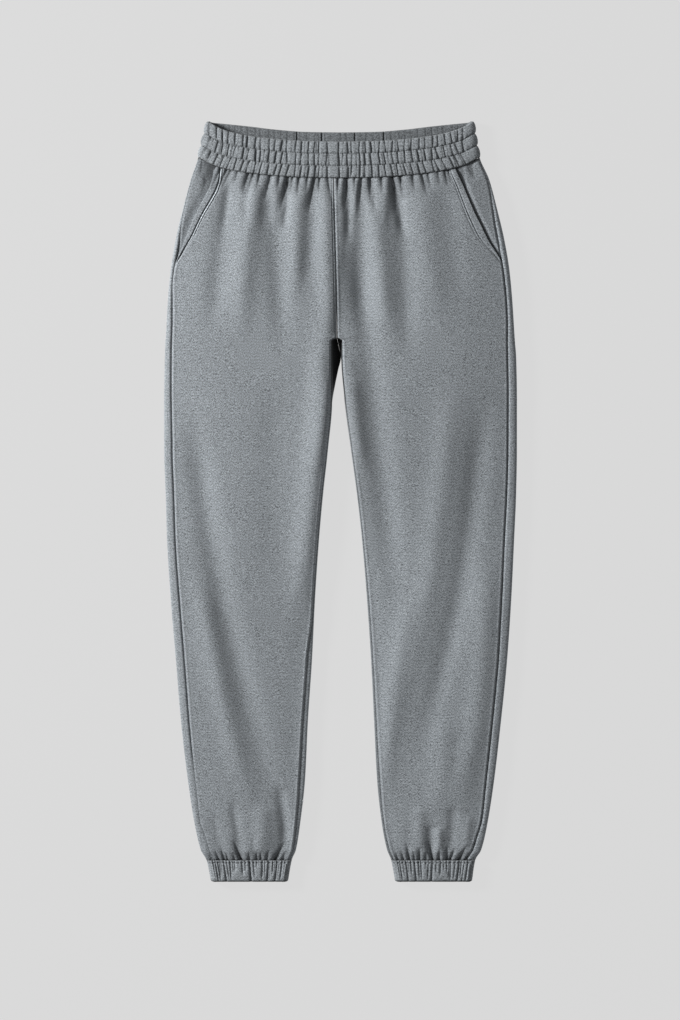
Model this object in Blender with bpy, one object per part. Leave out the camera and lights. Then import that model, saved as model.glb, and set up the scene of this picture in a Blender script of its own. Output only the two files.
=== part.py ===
"""Jogger sweatpants laid flat on their back, front up.

Metres. X runs across the garment (the wearer's right leg is at -X), Y runs along it
(waist at +Y, cuffs at -Y) and Z rises from the surface that it lies on. "Down" is the
distance below the waist tips, so y = WAIST_Y - down.

Each leg is a flattened tube. Its front is a height field over the outline, low at the
folded edges and crowned between them. Its back lies flat and wraps round both edges to
the seams, which sit a little way in on the front.
"""

from collections import namedtuple

import bpy
import numpy as np

# Driving sizes
LENGTH = 1.000
WAIST_Y = LENGTH / 2
CLOTH = 0.0020  # one layer of brushed fleece
SEAM_GAP = 0.0003  # between pieces that are sewn together
BAND_CLOTH = 0.0036  # two layers of fleece round a flat elastic
CUFF_CLOTH = 0.0034
BAND_HEIGHT = 0.0475  # along the side folds, down to the panels' top edge
CUFF_TOP = 0.9718  # down to the cuff seams
CROTCH = 0.2845  # down to the end of the centre front seam
WAIST_HALF = 0.184  # half the width across the casing's seam

# How an edge folds: the height of its outermost line as a share of the crown's, the widths
# of its tight and its broad curve, the tight one's share of the rise, and its lower curve
EDGE_SHARE = 0.56
OUTER_TIGHT, OUTER_BROAD, OUTER_SHARE = 0.0060, 0.105, 0.33
INNER_TIGHT, INNER_BROAD, INNER_SHARE = 0.0045, 0.036, 0.36
INNER_KEEPS = 0.35  # the share of the rise that the legs' inner edges keep
UNDER_ROUND = 0.009
UNDER_ANGLES = np.radians([0, 34, 62, 90])
SINK_LENGTH = 0.105  # the front sinks between the legs over this length above the crotch
SINK_POWER = 3
GROOVE_POWER = 2.2  # how sharp its groove is there
RIM_LIFT = 0.0015  # the legs' inner edges stand this much higher beside the crotch
RIM_FROM, RIM_UNTIL, RIM_FADE = 0.215, 0.300, 0.060

RIGHT, LEFT = -1, 1  # the wearer's sides, as signs of X

# The outline across the garment as it lies, and the height of its top
Station = namedtuple("Station", "down right_outer right_inner left_inner left_outer crown")
STATIONS = (
    Station(0.0000, -0.1750, -0.0085, -0.0085, 0.1745, 0.0165),
    Station(0.0185, -0.1797, -0.0085, -0.0085, 0.1772, 0.0170),
    Station(0.0475, -0.1870, -0.0085, -0.0085, 0.1830, 0.0170),
    Station(0.0765, -0.1968, -0.0085, -0.0085, 0.1955, 0.0180),
    Station(0.1160, -0.2072, -0.0080, -0.0080, 0.2060, 0.0200),
    Station(0.1550, -0.2165, -0.0070, -0.0070, 0.2152, 0.0205),
    Station(0.1950, -0.2230, -0.0060, -0.0060, 0.2220, 0.0205),
    Station(0.2345, -0.2270, -0.0052, -0.0052, 0.2258, 0.0205),
    Station(0.2845, -0.2298, -0.0046, -0.0046, 0.2290, 0.0205),
    Station(0.2890, -0.2302, -0.0105, 0.0007, 0.2293, 0.0205),
    Station(0.3105, -0.2310, -0.0105, 0.0008, 0.2310, 0.0205),
    Station(0.3660, -0.2320, -0.0108, 0.0052, 0.2320, 0.0200),
    Station(0.4320, -0.2320, -0.0165, 0.0138, 0.2320, 0.0190),
    Station(0.4910, -0.2300, -0.0230, 0.0217, 0.2310, 0.0180),
    Station(0.5505, -0.2282, -0.0283, 0.0283, 0.2284, 0.0175),
    Station(0.6295, -0.2232, -0.0336, 0.0349, 0.2246, 0.0170),
    Station(0.7085, -0.2166, -0.0375, 0.0402, 0.2192, 0.0165),
    Station(0.7875, -0.2100, -0.0428, 0.0441, 0.2113, 0.0165),
    Station(0.8665, -0.2008, -0.0467, 0.0481, 0.2021, 0.0170),
    Station(0.9255, -0.1916, -0.0533, 0.0546, 0.1929, 0.0175),
    Station(0.9585, -0.1837, -0.0586, 0.0612, 0.1850, 0.0165),
    Station(0.9718, -0.1765, -0.0640, 0.0665, 0.1775, 0.0135),
    Station(1.0000, -0.1705, -0.0691, 0.0718, 0.1731, 0.0125),
)

# How far in from each edge the seams lie on the front
SeamLine = namedtuple("SeamLine", "down right_side right_inseam left_side left_inseam")
SEAMS = (
    SeamLine(0.0475, 0.0015, 0.0015, 0.0015, 0.0015),
    SeamLine(0.0800, 0.0015, 0.0015, 0.0024, 0.0015),
    SeamLine(0.0950, 0.0015, 0.0015, 0.0034, 0.0015),
    SeamLine(0.1175, 0.0017, 0.0015, 0.0055, 0.0015),
    SeamLine(0.1440, 0.0041, 0.0015, 0.0079, 0.0016),
    SeamLine(0.1700, 0.0059, 0.0015, 0.0083, 0.0016),
    SeamLine(0.1900, 0.0045, 0.0015, 0.0080, 0.0016),
    SeamLine(0.2080, 0.0041, 0.0015, 0.0078, 0.0016),
    SeamLine(0.2344, 0.0064, 0.0015, 0.0076, 0.0016),
    SeamLine(0.2607, 0.0079, 0.0015, 0.0080, 0.0016),
    SeamLine(0.3134, 0.0093, 0.0015, 0.0112, 0.0017),
    SeamLine(0.3660, 0.0102, 0.0015, 0.0114, 0.0017),
    SeamLine(0.4320, 0.0112, 0.0015, 0.0117, 0.0017),
    SeamLine(0.5505, 0.0114, 0.0015, 0.0126, 0.0018),
    SeamLine(0.6500, 0.0120, 0.0018, 0.0125, 0.0026),
    SeamLine(0.7085, 0.0117, 0.0060, 0.0116, 0.0026),
    SeamLine(0.7611, 0.0115, 0.0061, 0.0114, 0.0029),
    SeamLine(0.8137, 0.0109, 0.0065, 0.0110, 0.0033),
    SeamLine(0.8665, 0.0098, 0.0070, 0.0103, 0.0040),
    SeamLine(0.8927, 0.0092, 0.0060, 0.0093, 0.0035),
    SeamLine(0.9190, 0.0076, 0.0050, 0.0082, 0.0030),
    SeamLine(0.9440, 0.0112, 0.0043, 0.0106, 0.0032),
    SeamLine(0.9718, 0.0108, 0.0035, 0.0121, 0.0035),
)

# Where the cloth of each leg meets the surface at the fork: the back's longer rise shows there
Foot = namedtuple("Foot", "down right left")
FEET = (
    Foot(0.2845, -0.0048, -0.0044),
    Foot(0.2890, -0.0038, -0.0034),
    Foot(0.3000, -0.0014, -0.0010),
    Foot(0.3105, 0.0002, 0.0008),
    Foot(0.3265, -0.0030, 0.0024),
    Foot(0.3460, -0.0070, 0.0038),
    Foot(0.3660, -0.0106, 0.0052),
    Foot(0.4000, -0.0134, 0.0094),
)
INSEAM_START = 0.0045  # the inseam leaves the edge over this length below the crotch
FORK_END = 0.375
FORK_RIM = 0.0042
FORK_ROUND = 0.0065
FORK_CLOTH = 0.0018  # the wall of the tight fold between the legs
STRIP_CLOTH = 0.0010  # the wall of the back's strip over the edge where it is narrow
NARROW_STRIP = 0.0055
FORK_DROP = 0.0019  # the back's edge lies this much lower at the very crotch
FORK_DROP_END = 0.020
FORK_LEAN = 0.0002  # the least that its wall leans in under the inseam

# The slanted pocket mouths: the front panel's cut edge
Mouth = namedtuple("Mouth", "down right left")
MOUTHS = (
    Mouth(0.0475, -0.1672, 0.1440),
    Mouth(0.0600, -0.1675, 0.1500),
    Mouth(0.0700, -0.1678, 0.1546),
    Mouth(0.0850, -0.1714, 0.1613),
    Mouth(0.0976, -0.1772, 0.1664),
    Mouth(0.1200, -0.1890, 0.1760),
    Mouth(0.1400, -0.1978, 0.1860),
    Mouth(0.1590, -0.2055, 0.1955),
    Mouth(0.1745, -0.2116, 0.2058),
    Mouth(0.1875, -0.2170, 0.2125),
    Mouth(0.1960, -0.2190, 0.2135),
)
MOUTH_END = 0.1890
POCKET_UNDERLAP = 0.013
POCKET_LIP = 0.0015  # the side panel stays down this far outside the mouth
POCKET_CLEAR = 0.0006
POCKET_EASE = 0.012  # and comes up level over this width

# The waist edges dip between the side folds: x share of the half width, dip share
Dip = namedtuple("Dip", "share front back")
DIPS = (
    Dip(0.00, 0.0276, 0.0132),
    Dip(0.25, 0.0268, 0.0126),
    Dip(0.49, 0.0240, 0.0095),
    Dip(0.68, 0.0198, 0.0055),
    Dip(0.80, 0.0155, 0.0033),
    Dip(0.90, 0.0098, 0.0016),
    Dip(1.00, 0.0000, 0.0000),
)
EDGE_TRIES = 8
DIP_FADE = 0.170  # the panels' rows straighten over this length

# Where the back's points lie: shares of the strip over the edge, of the flat between the
# folds, and insets from the centre back seam
OVER_SHARES = np.array([1.0, 0.55, 0.18])
FLAT_SHARES = np.array([0.2, 0.5, 0.8])
CENTRE_INSETS = np.array([0.012, 0.009, 0.006, 0.004, 0.002, 0.0])
CROWDING = 0.55  # how much closer a panel's columns lie at its edges, 0 to 1

# Large soft folds of the front: a path, half width, and depth (a trough is below 0)
Fold = namedtuple("Fold", "x1 down1 x2 down2 x3 down3 width depth")
FOLDS = (
    Fold(-0.1400, 0.060, -0.1540, 0.155, -0.1700, 0.290, 0.0140, -0.0030),
    Fold(-0.1020, 0.060, -0.1215, 0.155, -0.1330, 0.300, 0.0140, 0.0032),
    Fold(-0.0880, 0.075, -0.0850, 0.155, -0.0730, 0.320, 0.0140, -0.0030),
    Fold(-0.0520, 0.075, -0.0573, 0.155, -0.0600, 0.250, 0.0110, 0.0032),
    Fold(-0.0330, 0.072, -0.0375, 0.155, -0.0440, 0.230, 0.0095, -0.0014),
    Fold(-0.0190, 0.075, -0.0180, 0.165, -0.0110, 0.310, 0.0125, 0.0046),
    Fold(0.0000, 0.070, -0.0005, 0.150, -0.0010, 0.230, 0.0060, 0.0010),
    Fold(0.0277, 0.070, 0.0275, 0.160, 0.0320, 0.300, 0.0130, -0.0034),
    Fold(0.0349, 0.078, 0.0494, 0.155, 0.0600, 0.300, 0.0120, 0.0026),
    Fold(0.0700, 0.070, 0.0820, 0.150, 0.0900, 0.330, 0.0140, -0.0032),
    Fold(0.1080, 0.066, 0.1126, 0.150, 0.1310, 0.290, 0.0160, 0.0018),
    Fold(0.1400, 0.070, 0.1470, 0.150, 0.1600, 0.260, 0.0140, -0.0010),
    Fold(-0.0150, 0.230, -0.0320, 0.445, -0.0570, 0.690, 0.0165, 0.0050),
    Fold(-0.0800, 0.330, -0.0860, 0.450, -0.0800, 0.640, 0.0240, -0.0018),
    Fold(-0.1980, 0.360, -0.1660, 0.570, -0.0780, 0.935, 0.0170, -0.0034),
    Fold(-0.1900, 0.600, -0.1500, 0.780, -0.1060, 0.930, 0.0140, 0.0022),
    Fold(0.0050, 0.290, 0.0125, 0.340, 0.0300, 0.500, 0.0100, 0.0014),
    Fold(0.0160, 0.120, 0.0470, 0.395, 0.0760, 0.690, 0.0180, -0.0046),
    Fold(0.1460, 0.330, 0.1200, 0.580, 0.0620, 0.850, 0.0160, 0.0024),
    Fold(0.1920, 0.340, 0.1600, 0.600, 0.0940, 0.880, 0.0150, -0.0030),
)
FOLD_MARGIN = 0.020  # folds fade out this far from the outer folded edge
FOLD_GROWS = 0.20  # and over these shares of their length at the top and bottom
FOLD_FADES = 0.35

# Gathers below the waistband: place, sideways lean a metre down, reach, half width, height
Gather = namedtuple("Gather", "x lean reach width height")
WAIST_GATHERS = (
    Gather(-0.1450, -0.18, 0.060, 0.0040, 0.0018),
    Gather(-0.1310, -0.10, 0.042, 0.0038, 0.0016),
    Gather(-0.1170, -0.16, 0.075, 0.0042, 0.0020),
    Gather(-0.1020, -0.05, 0.048, 0.0038, 0.0017),
    Gather(-0.0880, -0.12, 0.092, 0.0044, 0.0021),
    Gather(-0.0740, -0.02, 0.050, 0.0038, 0.0016),
    Gather(-0.0600, -0.08, 0.084, 0.0042, 0.0021),
    Gather(-0.0450, 0.00, 0.052, 0.0040, 0.0018),
    Gather(-0.0310, -0.04, 0.070, 0.0040, 0.0018),
    Gather(-0.0170, 0.02, 0.046, 0.0036, 0.0014),
    Gather(0.0040, 0.02, 0.048, 0.0038, 0.0016),
    Gather(0.0190, 0.05, 0.078, 0.0040, 0.0020),
    Gather(0.0330, 0.00, 0.052, 0.0038, 0.0017),
    Gather(0.0480, 0.08, 0.090, 0.0042, 0.0022),
    Gather(0.0620, 0.04, 0.056, 0.0040, 0.0018),
    Gather(0.0770, 0.12, 0.100, 0.0044, 0.0024),
    Gather(0.0910, 0.08, 0.048, 0.0038, 0.0016),
    Gather(0.1060, 0.16, 0.080, 0.0042, 0.0020),
    Gather(0.1200, 0.10, 0.050, 0.0038, 0.0016),
    Gather(0.1340, 0.22, 0.062, 0.0040, 0.0018),
)
# Gathers above the cuffs, on the front: the same columns, their reach running upwards
CUFF_GATHERS = (
    Gather(-0.1620, 0.10, 0.030, 0.0034, 0.0016),
    Gather(-0.1500, 0.14, 0.046, 0.0036, 0.0022),
    Gather(-0.1370, 0.22, 0.060, 0.0038, 0.0026),
    Gather(-0.1240, 0.06, 0.036, 0.0034, 0.0018),
    Gather(-0.1110, -0.04, 0.044, 0.0036, 0.0020),
    Gather(-0.0980, -0.10, 0.034, 0.0034, 0.0018),
    Gather(-0.0850, -0.24, 0.056, 0.0038, 0.0024),
    Gather(0.0860, 0.12, 0.034, 0.0034, 0.0018),
    Gather(0.0990, 0.10, 0.048, 0.0036, 0.0022),
    Gather(0.1130, 0.08, 0.058, 0.0038, 0.0024),
    Gather(0.1260, -0.02, 0.034, 0.0034, 0.0018),
    Gather(0.1380, -0.10, 0.052, 0.0036, 0.0024),
    Gather(0.1500, -0.16, 0.042, 0.0036, 0.0020),
    Gather(0.1620, -0.26, 0.050, 0.0036, 0.0022),
)
INNER_FOLLOW = 0.35  # the wall's inside follows this share of a gather
GATHER_LEAD = 0.012  # a gather runs this far back over its seam
GATHER_SPREAD = 1.2  # and widens by this share along its reach
GATHER_MARGIN = 0.010  # it fades out this far from the legs' inner edges

# Elastic casings
BAND_ROWS = 3
BAND_RIBS = 38
BAND_TIGHT, BAND_SHARE = 0.0090, 0.60  # its folds are rounder than the legs'
BAND_PUFF = 0.0014
BAND_RIB_DEPTH = 0.0012
BAND_POINTS_A_RIB = 4
BAND_POINTS_A_ROW = 3
BAND_PLAIN = 25  # columns of its plain inside
BAND_BOW = 0.0010  # each row bulges this far at the side folds
BAND_CALM = 0.025  # the ribs fade out over this share of its width at each fold
BAND_MARGIN = 0.023  # the first rib's share of the width
FOLD_PLACES = (0.0, 0.0016, 0.006, 0.013)  # the columns nearer the fold than that
PLAIN_PLACES = (0.0, 0.008)
PUFF_ROUND = 0.8  # below 1 the rounds are broad and the creases between them narrow
RIB_ROUND = 0.7
RIB_WANDER = 0.0035  # the ribs' uneven spacing, as a share of the width
WANDER_WAVES = 4.3
WANDER_STEP = 0.37  # turns from one row to the next
CUFF_RIBS = 15
CUFF_PUFF = 0.0010
CUFF_RIB_DEPTH = 0.0011
CUFF_TOP_POINTS = CUFF_RIBS * 4 + 1
CUFF_PLAIN = 9  # columns of its plain inside, over the top
CUFF_FLAT = 7  # columns along its underside
CUFF_STEPS = 5
CUFF_ANGLES = np.radians([62, 30, 0, -30, -62])  # points round its side folds
CUFF_WANDER = 0.004
CUFF_CALM = 0.35  # the ribs' share of their depth at the seam and the hem
CUFF_TOP_SHARE = 0.4  # of the way round, for its top and its underside alike

# Rows of points down a leg: where they are, and how many columns the front has there
Row = namedtuple("Row", "down columns")
ROWS = (
    Row(0.0478, 38), Row(0.0540, 38), Row(0.0630, 38), Row(0.0740, 38), Row(0.0880, 34),
    Row(0.1060, 26), Row(0.1260, 20), Row(0.1470, 16), Row(0.1700, 15), Row(0.1890, 14),
    Row(0.2120, 14), Row(0.2360, 14), Row(0.2560, 14), Row(0.2710, 14), Row(0.2800, 14),
    Row(0.2845, 14), Row(0.2890, 14), Row(0.3000, 14), Row(0.3105, 14), Row(0.3265, 14),
    Row(0.3480, 13), Row(0.3750, 13), Row(0.4150, 13), Row(0.4600, 13), Row(0.5050, 13),
    Row(0.5500, 13), Row(0.5950, 13), Row(0.6400, 13), Row(0.6850, 13), Row(0.7300, 13),
    Row(0.7750, 13), Row(0.8200, 13), Row(0.8600, 13), Row(0.8900, 15), Row(0.9130, 20),
    Row(0.9320, 26), Row(0.9460, 26), Row(0.9580, 26), Row(0.9660, 26), Row(0.9715, 26),
)

HEATHER = (0.235, 0.255, 0.272, 1.0)
HEATHER_BAND = (0.190, 0.205, 0.218, 1.0)


def through(knots, values, at):
    """A smooth curve through the knots, with no overshoot: cubic pieces whose slopes are
    the harmonic means of their neighbours' slopes."""
    knots, values = np.asarray(knots, float), np.asarray(values, float)
    at = np.clip(at, knots[0], knots[-1])
    steps = np.diff(values) / np.diff(knots)
    slopes = np.zeros(len(knots))
    same = steps[:-1] * steps[1:] > 0
    slopes[1:-1][same] = 2 * steps[:-1][same] * steps[1:][same] / (steps[:-1] + steps[1:])[same]
    slopes[0], slopes[-1] = steps[0], steps[-1]
    left = np.clip(np.searchsorted(knots, at, side="right") - 1, 0, len(knots) - 2)
    width = knots[left + 1] - knots[left]
    share = (at - knots[left]) / width
    return (
        values[left] * (1 + 2 * share) * (1 - share) ** 2
        + values[left + 1] * share**2 * (3 - 2 * share)
        + width * slopes[left] * share * (1 - share) ** 2
        - width * slopes[left + 1] * share**2 * (1 - share)
    )


def column(table, name, down):
    """A table's column, read at a distance down."""
    return through([row[0] for row in table], [getattr(row, name) for row in table], down)


def smooth(share):
    """0 to 1 with no corner at either end."""
    share = np.clip(share, 0, 1)
    return share * share * (3 - 2 * share)


def shoulder(distance, tight, broad, share):
    """How a folded edge comes up, 0 to 1: a share of it in a tight quarter circle, and the
    rest in a broad soft curve."""
    circle = np.sqrt(1 - (1 - np.clip(distance / tight, 0, 1)) ** 2)
    slow = 1 - (1 - np.clip(distance / broad, 0, 1)) ** 2
    return share * circle + (1 - share) * slow


def side_name(side):
    """A side's word in names and tables."""
    return "right" if side == RIGHT else "left"


def outer_edge(side, down):
    """The X of a leg's outer folded edge."""
    return column(STATIONS, side_name(side) + "_outer", down)


def inner_edge(side, down):
    """The X of the centre seam and, below the crotch, of a leg's inner folded edge."""
    centre = column(STATIONS, "right_inner", down)
    edge = column(STATIONS, side_name(side) + "_inner", down)
    return np.where(np.asarray(down) <= CROTCH, centre, edge)


def edge_height(down):
    """The height of the folded edges' outermost lines."""
    return EDGE_SHARE * column(STATIONS, "crown", down)


def fork_share(down):
    """How far the front has sunk between the legs: 0 at the hips, 1 from the crotch down."""
    return np.clip(1 - (CROTCH - down) / SINK_LENGTH, 0, 1) ** SINK_POWER


def fold_heights(x, down):
    """The large folds: each a bell across its path, fading out at both ends."""
    total = np.zeros(np.broadcast(x, down).shape)
    for fold in FOLDS:
        path = through(
            (fold.down1, fold.down2, fold.down3), (fold.x1, fold.x2, fold.x3), down
        )
        along = np.clip((down - fold.down1) / (fold.down3 - fold.down1), 0, 1)
        ends = smooth(along / FOLD_GROWS) * smooth((1 - along) / FOLD_FADES)
        total = total + fold.depth * ends * np.exp(-(((x - path) / fold.width) ** 2))
    return total


def gather_heights(x, down):
    """The short gathers: each a narrow ridge that starts at a seam and dies out."""
    total = np.zeros(np.broadcast(x, down).shape)
    for gathers, start, way in ((WAIST_GATHERS, BAND_HEIGHT, 1), (CUFF_GATHERS, CUFF_TOP, -1)):
        for gather in gathers:
            origin = start + (front_dip(gather.x / WAIST_HALF) if way > 0 else 0)
            along = way * (down - origin)
            share = np.clip(along / gather.reach, 0, 1)
            fade = smooth(along / GATHER_LEAD + 1) * (1 - smooth(share)) * (1 + share)
            width = gather.width * (1 + GATHER_SPREAD * share)
            path = gather.x + gather.lean * along
            total = total + gather.height * fade * np.exp(-(((x - path) / width) ** 2))
    return total


def front_height(side, x, down, follow=1.0):
    """The height of the front over the surface: crowned, round at both edges, and folded.
    follow is the share of the short gathers that shows."""
    crown, low = column(STATIONS, "crown", down), edge_height(down)
    from_outer = (outer_edge(side, down) - x) * side
    from_inner = (x - inner_edge(side, down)) * side
    sunk = fork_share(down)
    groove = (1 - np.clip(from_inner / INNER_BROAD, 0, 1)) ** GROOVE_POWER
    edge = 1 - shoulder(from_inner, INNER_TIGHT, INNER_BROAD, INNER_SHARE)
    inner = 1 - sunk * ((1 - sunk**4) * groove + sunk**4 * (1 - INNER_KEEPS) * edge)
    lift = RIM_LIFT * smooth((down - RIM_FROM) / (CROTCH - RIM_FROM))
    lift = lift * (1 - smooth((down - RIM_UNTIL) / RIM_FADE))
    inner = inner + (1 - inner) * lift / (crown - low)
    outer = shoulder(from_outer, OUTER_TIGHT, OUTER_BROAD, OUTER_SHARE)
    near = 1 - sunk * (1 - smooth(from_inner / GATHER_MARGIN))
    folds = fold_heights(x, down) + follow * near * gather_heights(x, down)
    return low + (crown - low) * outer * inner + smooth(from_outer / FOLD_MARGIN) * folds


def front_normal(side, x, down, step=0.0004):
    """The upward unit normal of the front, as an array with a last axis of x, y, z."""
    across = (front_height(side, x + step, down) - front_height(side, x - step, down)) / (2 * step)
    along = (front_height(side, x, down + step) - front_height(side, x, down - step)) / (2 * step)
    normal = np.stack([-across, along, np.ones_like(across)], axis=-1)
    return normal / np.linalg.norm(normal, axis=-1, keepdims=True)


def front_dip(share):
    """How far the front's rows dip at a share of the half width."""
    return column(DIPS, "front", np.abs(share))


def back_dip(share):
    """How far the back's rows dip at a share of the half width."""
    return column(DIPS, "back", np.abs(share))


def row_down(dip, x, row):
    """How far down a row of points runs at x: it dips with the waist and straightens."""
    width = np.where(np.asarray(x) < 0, -outer_edge(RIGHT, row), outer_edge(LEFT, row))
    fade = 1 - smooth((row - BAND_HEIGHT) / DIP_FADE)
    return row + dip(np.clip(np.abs(x) / width, 0, 1)) * fade


def seam_x(side, name, down):
    """Where a seam lies: name is side or inseam."""
    inset = column(SEAMS, side_name(side) + "_" + name, down)
    if name == "side":
        return outer_edge(side, down) - side * inset
    below = smooth((down - CROTCH) / INSEAM_START)
    return inner_edge(side, down) + side * inset * below


def front_outer_x(side, down):
    """The front panel's outer cut edge: the pocket mouth, then the side seam."""
    seam = seam_x(side, "side", down)
    mouth = column(MOUTHS, side_name(side), down)
    inside = np.minimum(mouth * side, seam * side) * side
    return np.where(down < MOUTH_END, inside, seam)


def edge_at(curve, dip, start, row):
    """The point where a dipping row meets a curve, by repeated substitution."""
    x = start
    for _ in range(EDGE_TRIES):
        x = curve(row_down(dip, x, row))
    return x


def shares(count):
    """Places across a panel, closer together at both ends."""
    even = np.linspace(0, 1, count)
    return (1 - CROWDING) * even + CROWDING * (1 - np.cos(np.pi * even)) / 2


def span_between(first, last):
    """Two edges drawn together by half a seam's gap at each end."""
    inward = np.sign(last - first) * SEAM_GAP / 2
    return first + inward, last - inward


def front_rows(side):
    """The front panel's rows: pairs of outer points and inner points."""
    rows = []
    for row in ROWS:
        outer = edge_at(lambda d: front_outer_x(side, d), front_dip, side * 0.18, row.down)
        inner = edge_at(lambda d: seam_x(side, "inseam", d), front_dip, side * 0.01, row.down)
        outer, inner = span_between(float(outer), float(inner))
        x = outer + (inner - outer) * shares(row.columns)
        down = row_down(front_dip, x, row.down)
        top = np.stack([x, WAIST_Y - down, front_height(side, x, down)], axis=-1)
        plain = np.stack(
            [x, WAIST_Y - down, front_height(side, x, down, INNER_FOLLOW)], axis=-1
        )
        rows.append((top, plain - CLOTH * front_normal(side, x, down)))
    return rows


def pocket_rows(side):
    """The side panel's rows: flush at the side seam, and one layer down under the mouth."""
    rows = []
    for row in ROWS:
        if row.down > MOUTH_END + POCKET_UNDERLAP:
            break
        outer = edge_at(lambda d: seam_x(side, "side", d), front_dip, side * 0.18, row.down)
        mouth = edge_at(lambda d: front_outer_x(side, d), front_dip, side * 0.18, row.down)
        outer = float(outer) - side * SEAM_GAP / 2
        lip = float(mouth) + side * POCKET_LIP
        lip = side * min(side * lip, side * outer - POCKET_LIP / 2)
        end = float(mouth) - side * POCKET_UNDERLAP
        x = np.concatenate([
            outer + (lip - outer) * np.array([0, 0.35, 0.7]),
            lip + (end - lip) * np.linspace(0, 1, 5),
        ])
        down = row_down(front_dip, x, row.down)
        outside = (x - lip) * side
        layer = (CLOTH + POCKET_CLEAR) * (1 - smooth(outside / POCKET_EASE))
        normal = front_normal(side, x, down)
        height = front_height(side, x, down, INNER_FOLLOW)
        top = np.stack([x, WAIST_Y - down, height], axis=-1) - layer[:, None] * normal
        rows.append((top, top - CLOTH * normal))
    return rows


def under_edge(edge, rim, outward, reach=UNDER_ROUND):
    """The curve from the flat underside up to a folded edge's outermost line, as x and z."""
    x = edge - outward * reach * (1 - np.sin(UNDER_ANGLES))
    return x, rim * (1 - np.cos(UNDER_ANGLES))


def back_section(side, row):
    """One row of the back panel, from the side seam round the outer edge, along the
    surface, and up to the inseam: x, y and z of its outer points."""
    outer = float(outer_edge(side, row))
    seam = float(edge_at(lambda d: seam_x(side, "side", d), front_dip, outer, row))
    seam += side * SEAM_GAP / 2
    x_top = outer + (seam - outer) * OVER_SHARES
    down_top = row_down(front_dip, x_top, row)
    z_top = front_height(side, x_top, down_top)
    x_out, z_out = under_edge(outer, float(edge_height(row)), side)
    x_tail, z_tail = fork_wall(side, row) if row >= CROTCH else centre_hem(side, row)
    x_flat = x_out[0] + (x_tail[0] - x_out[0]) * FLAT_SHARES
    x = np.concatenate([x_top, x_out[::-1], x_flat, x_tail])
    z = np.concatenate([z_top, z_out[::-1], np.zeros_like(x_flat), z_tail])
    down = np.concatenate([down_top, row_down(back_dip, x[len(x_top):], row)])
    return np.stack([x, WAIST_Y - down, z], axis=-1)


def centre_hem(side, row):
    """The flat end of a row at the centre back seam: x and z of its points."""
    inset = SEAM_GAP / 2 + CENTRE_INSETS
    return float(inner_edge(side, row)) + side * inset, np.zeros_like(inset)


def fork_wall(side, row):
    """The end of a row that stands up between the legs, from the surface to the inseam."""
    inner = float(inner_edge(side, row))
    foot = float(column(FEET, side_name(side), row)) if row < FORK_END else inner
    x_under, z_under = under_edge(foot, FORK_RIM, -side, FORK_ROUND)
    inseam = float(seam_x(side, "inseam", row)) - side * SEAM_GAP / 2
    inseam = side * max(side * inseam, side * inner + SEAM_GAP / 2)
    z_seam = float(front_height(side, np.array(inseam), np.array(row)))
    below = FORK_DROP * (1 - smooth((row - CROTCH) / FORK_DROP_END)) + SEAM_GAP / 2
    x_rise = np.array([side * min(side * inner + FORK_LEAN, side * inseam), inseam])
    z_rise = np.array([(z_under[-1] + z_seam - below) / 2, z_seam - below])
    return np.concatenate([x_under, x_rise]), np.concatenate([z_under, z_rise])


def grid_normals(points):
    """Unit normals of a grid of points, by central differences both ways."""
    along = np.gradient(points, axis=0)
    across = np.gradient(points, axis=1)
    normal = np.cross(across, along)
    return normal / np.linalg.norm(normal, axis=-1, keepdims=True)


def back_rows(side):
    """The back panel's rows: pairs of outer points and inner points. At both seams the
    wall's edge faces the way that the front's does."""
    outer = np.array([back_section(side, row.down) for row in ROWS])
    normals = grid_normals(outer) * -side
    x, down = outer[..., 0], WAIST_Y - outer[..., 1]
    normals[:, 0] = front_normal(side, x[:, 0], down[:, 0])
    forked = np.array([row.down > CROTCH + SEAM_GAP for row in ROWS])
    normals[forked, -1] = front_normal(side, x[forked, -1], down[forked, -1])
    wall = np.full(outer.shape[:2] + (1,), CLOTH)
    tight = np.array([CROTCH <= row.down < FORK_END for row in ROWS])
    wall[tight, -len(CENTRE_INSETS):] = FORK_CLOTH
    narrow = np.abs(x[:, 0] - x[:, len(OVER_SHARES)]) < NARROW_STRIP
    wall[narrow, : len(OVER_SHARES) + 2] = STRIP_CLOTH
    return list(zip(outer, outer - wall * normals))


def band_edge(side, down, row_share):
    """The casing's side fold, which bulges between the stitch lines."""
    return outer_edge(side, down) + side * BAND_BOW * np.abs(np.sin(np.pi * BAND_ROWS * row_share))


def band_across(columns, fold=FOLD_PLACES):
    """Places across the casing, as shares from the right fold to the left one: close
    together round each fold, then one rib after another."""
    fold = np.array(fold)
    ribs = np.linspace(BAND_MARGIN, 1 - BAND_MARGIN, columns)
    return np.concatenate([fold, ribs, 1 - fold[::-1]])


def rib_wave(places, row):
    """Ribs: broad rounds between narrow creases, unevenly spaced, stepped from row to row."""
    wander = np.sin(2 * np.pi * (WANDER_WAVES * places + WANDER_STEP * row))
    phase = np.pi * (BAND_RIBS * (places + RIB_WANDER * wander) + row / 2)
    return np.abs(np.cos(phase)) ** RIB_ROUND


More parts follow.
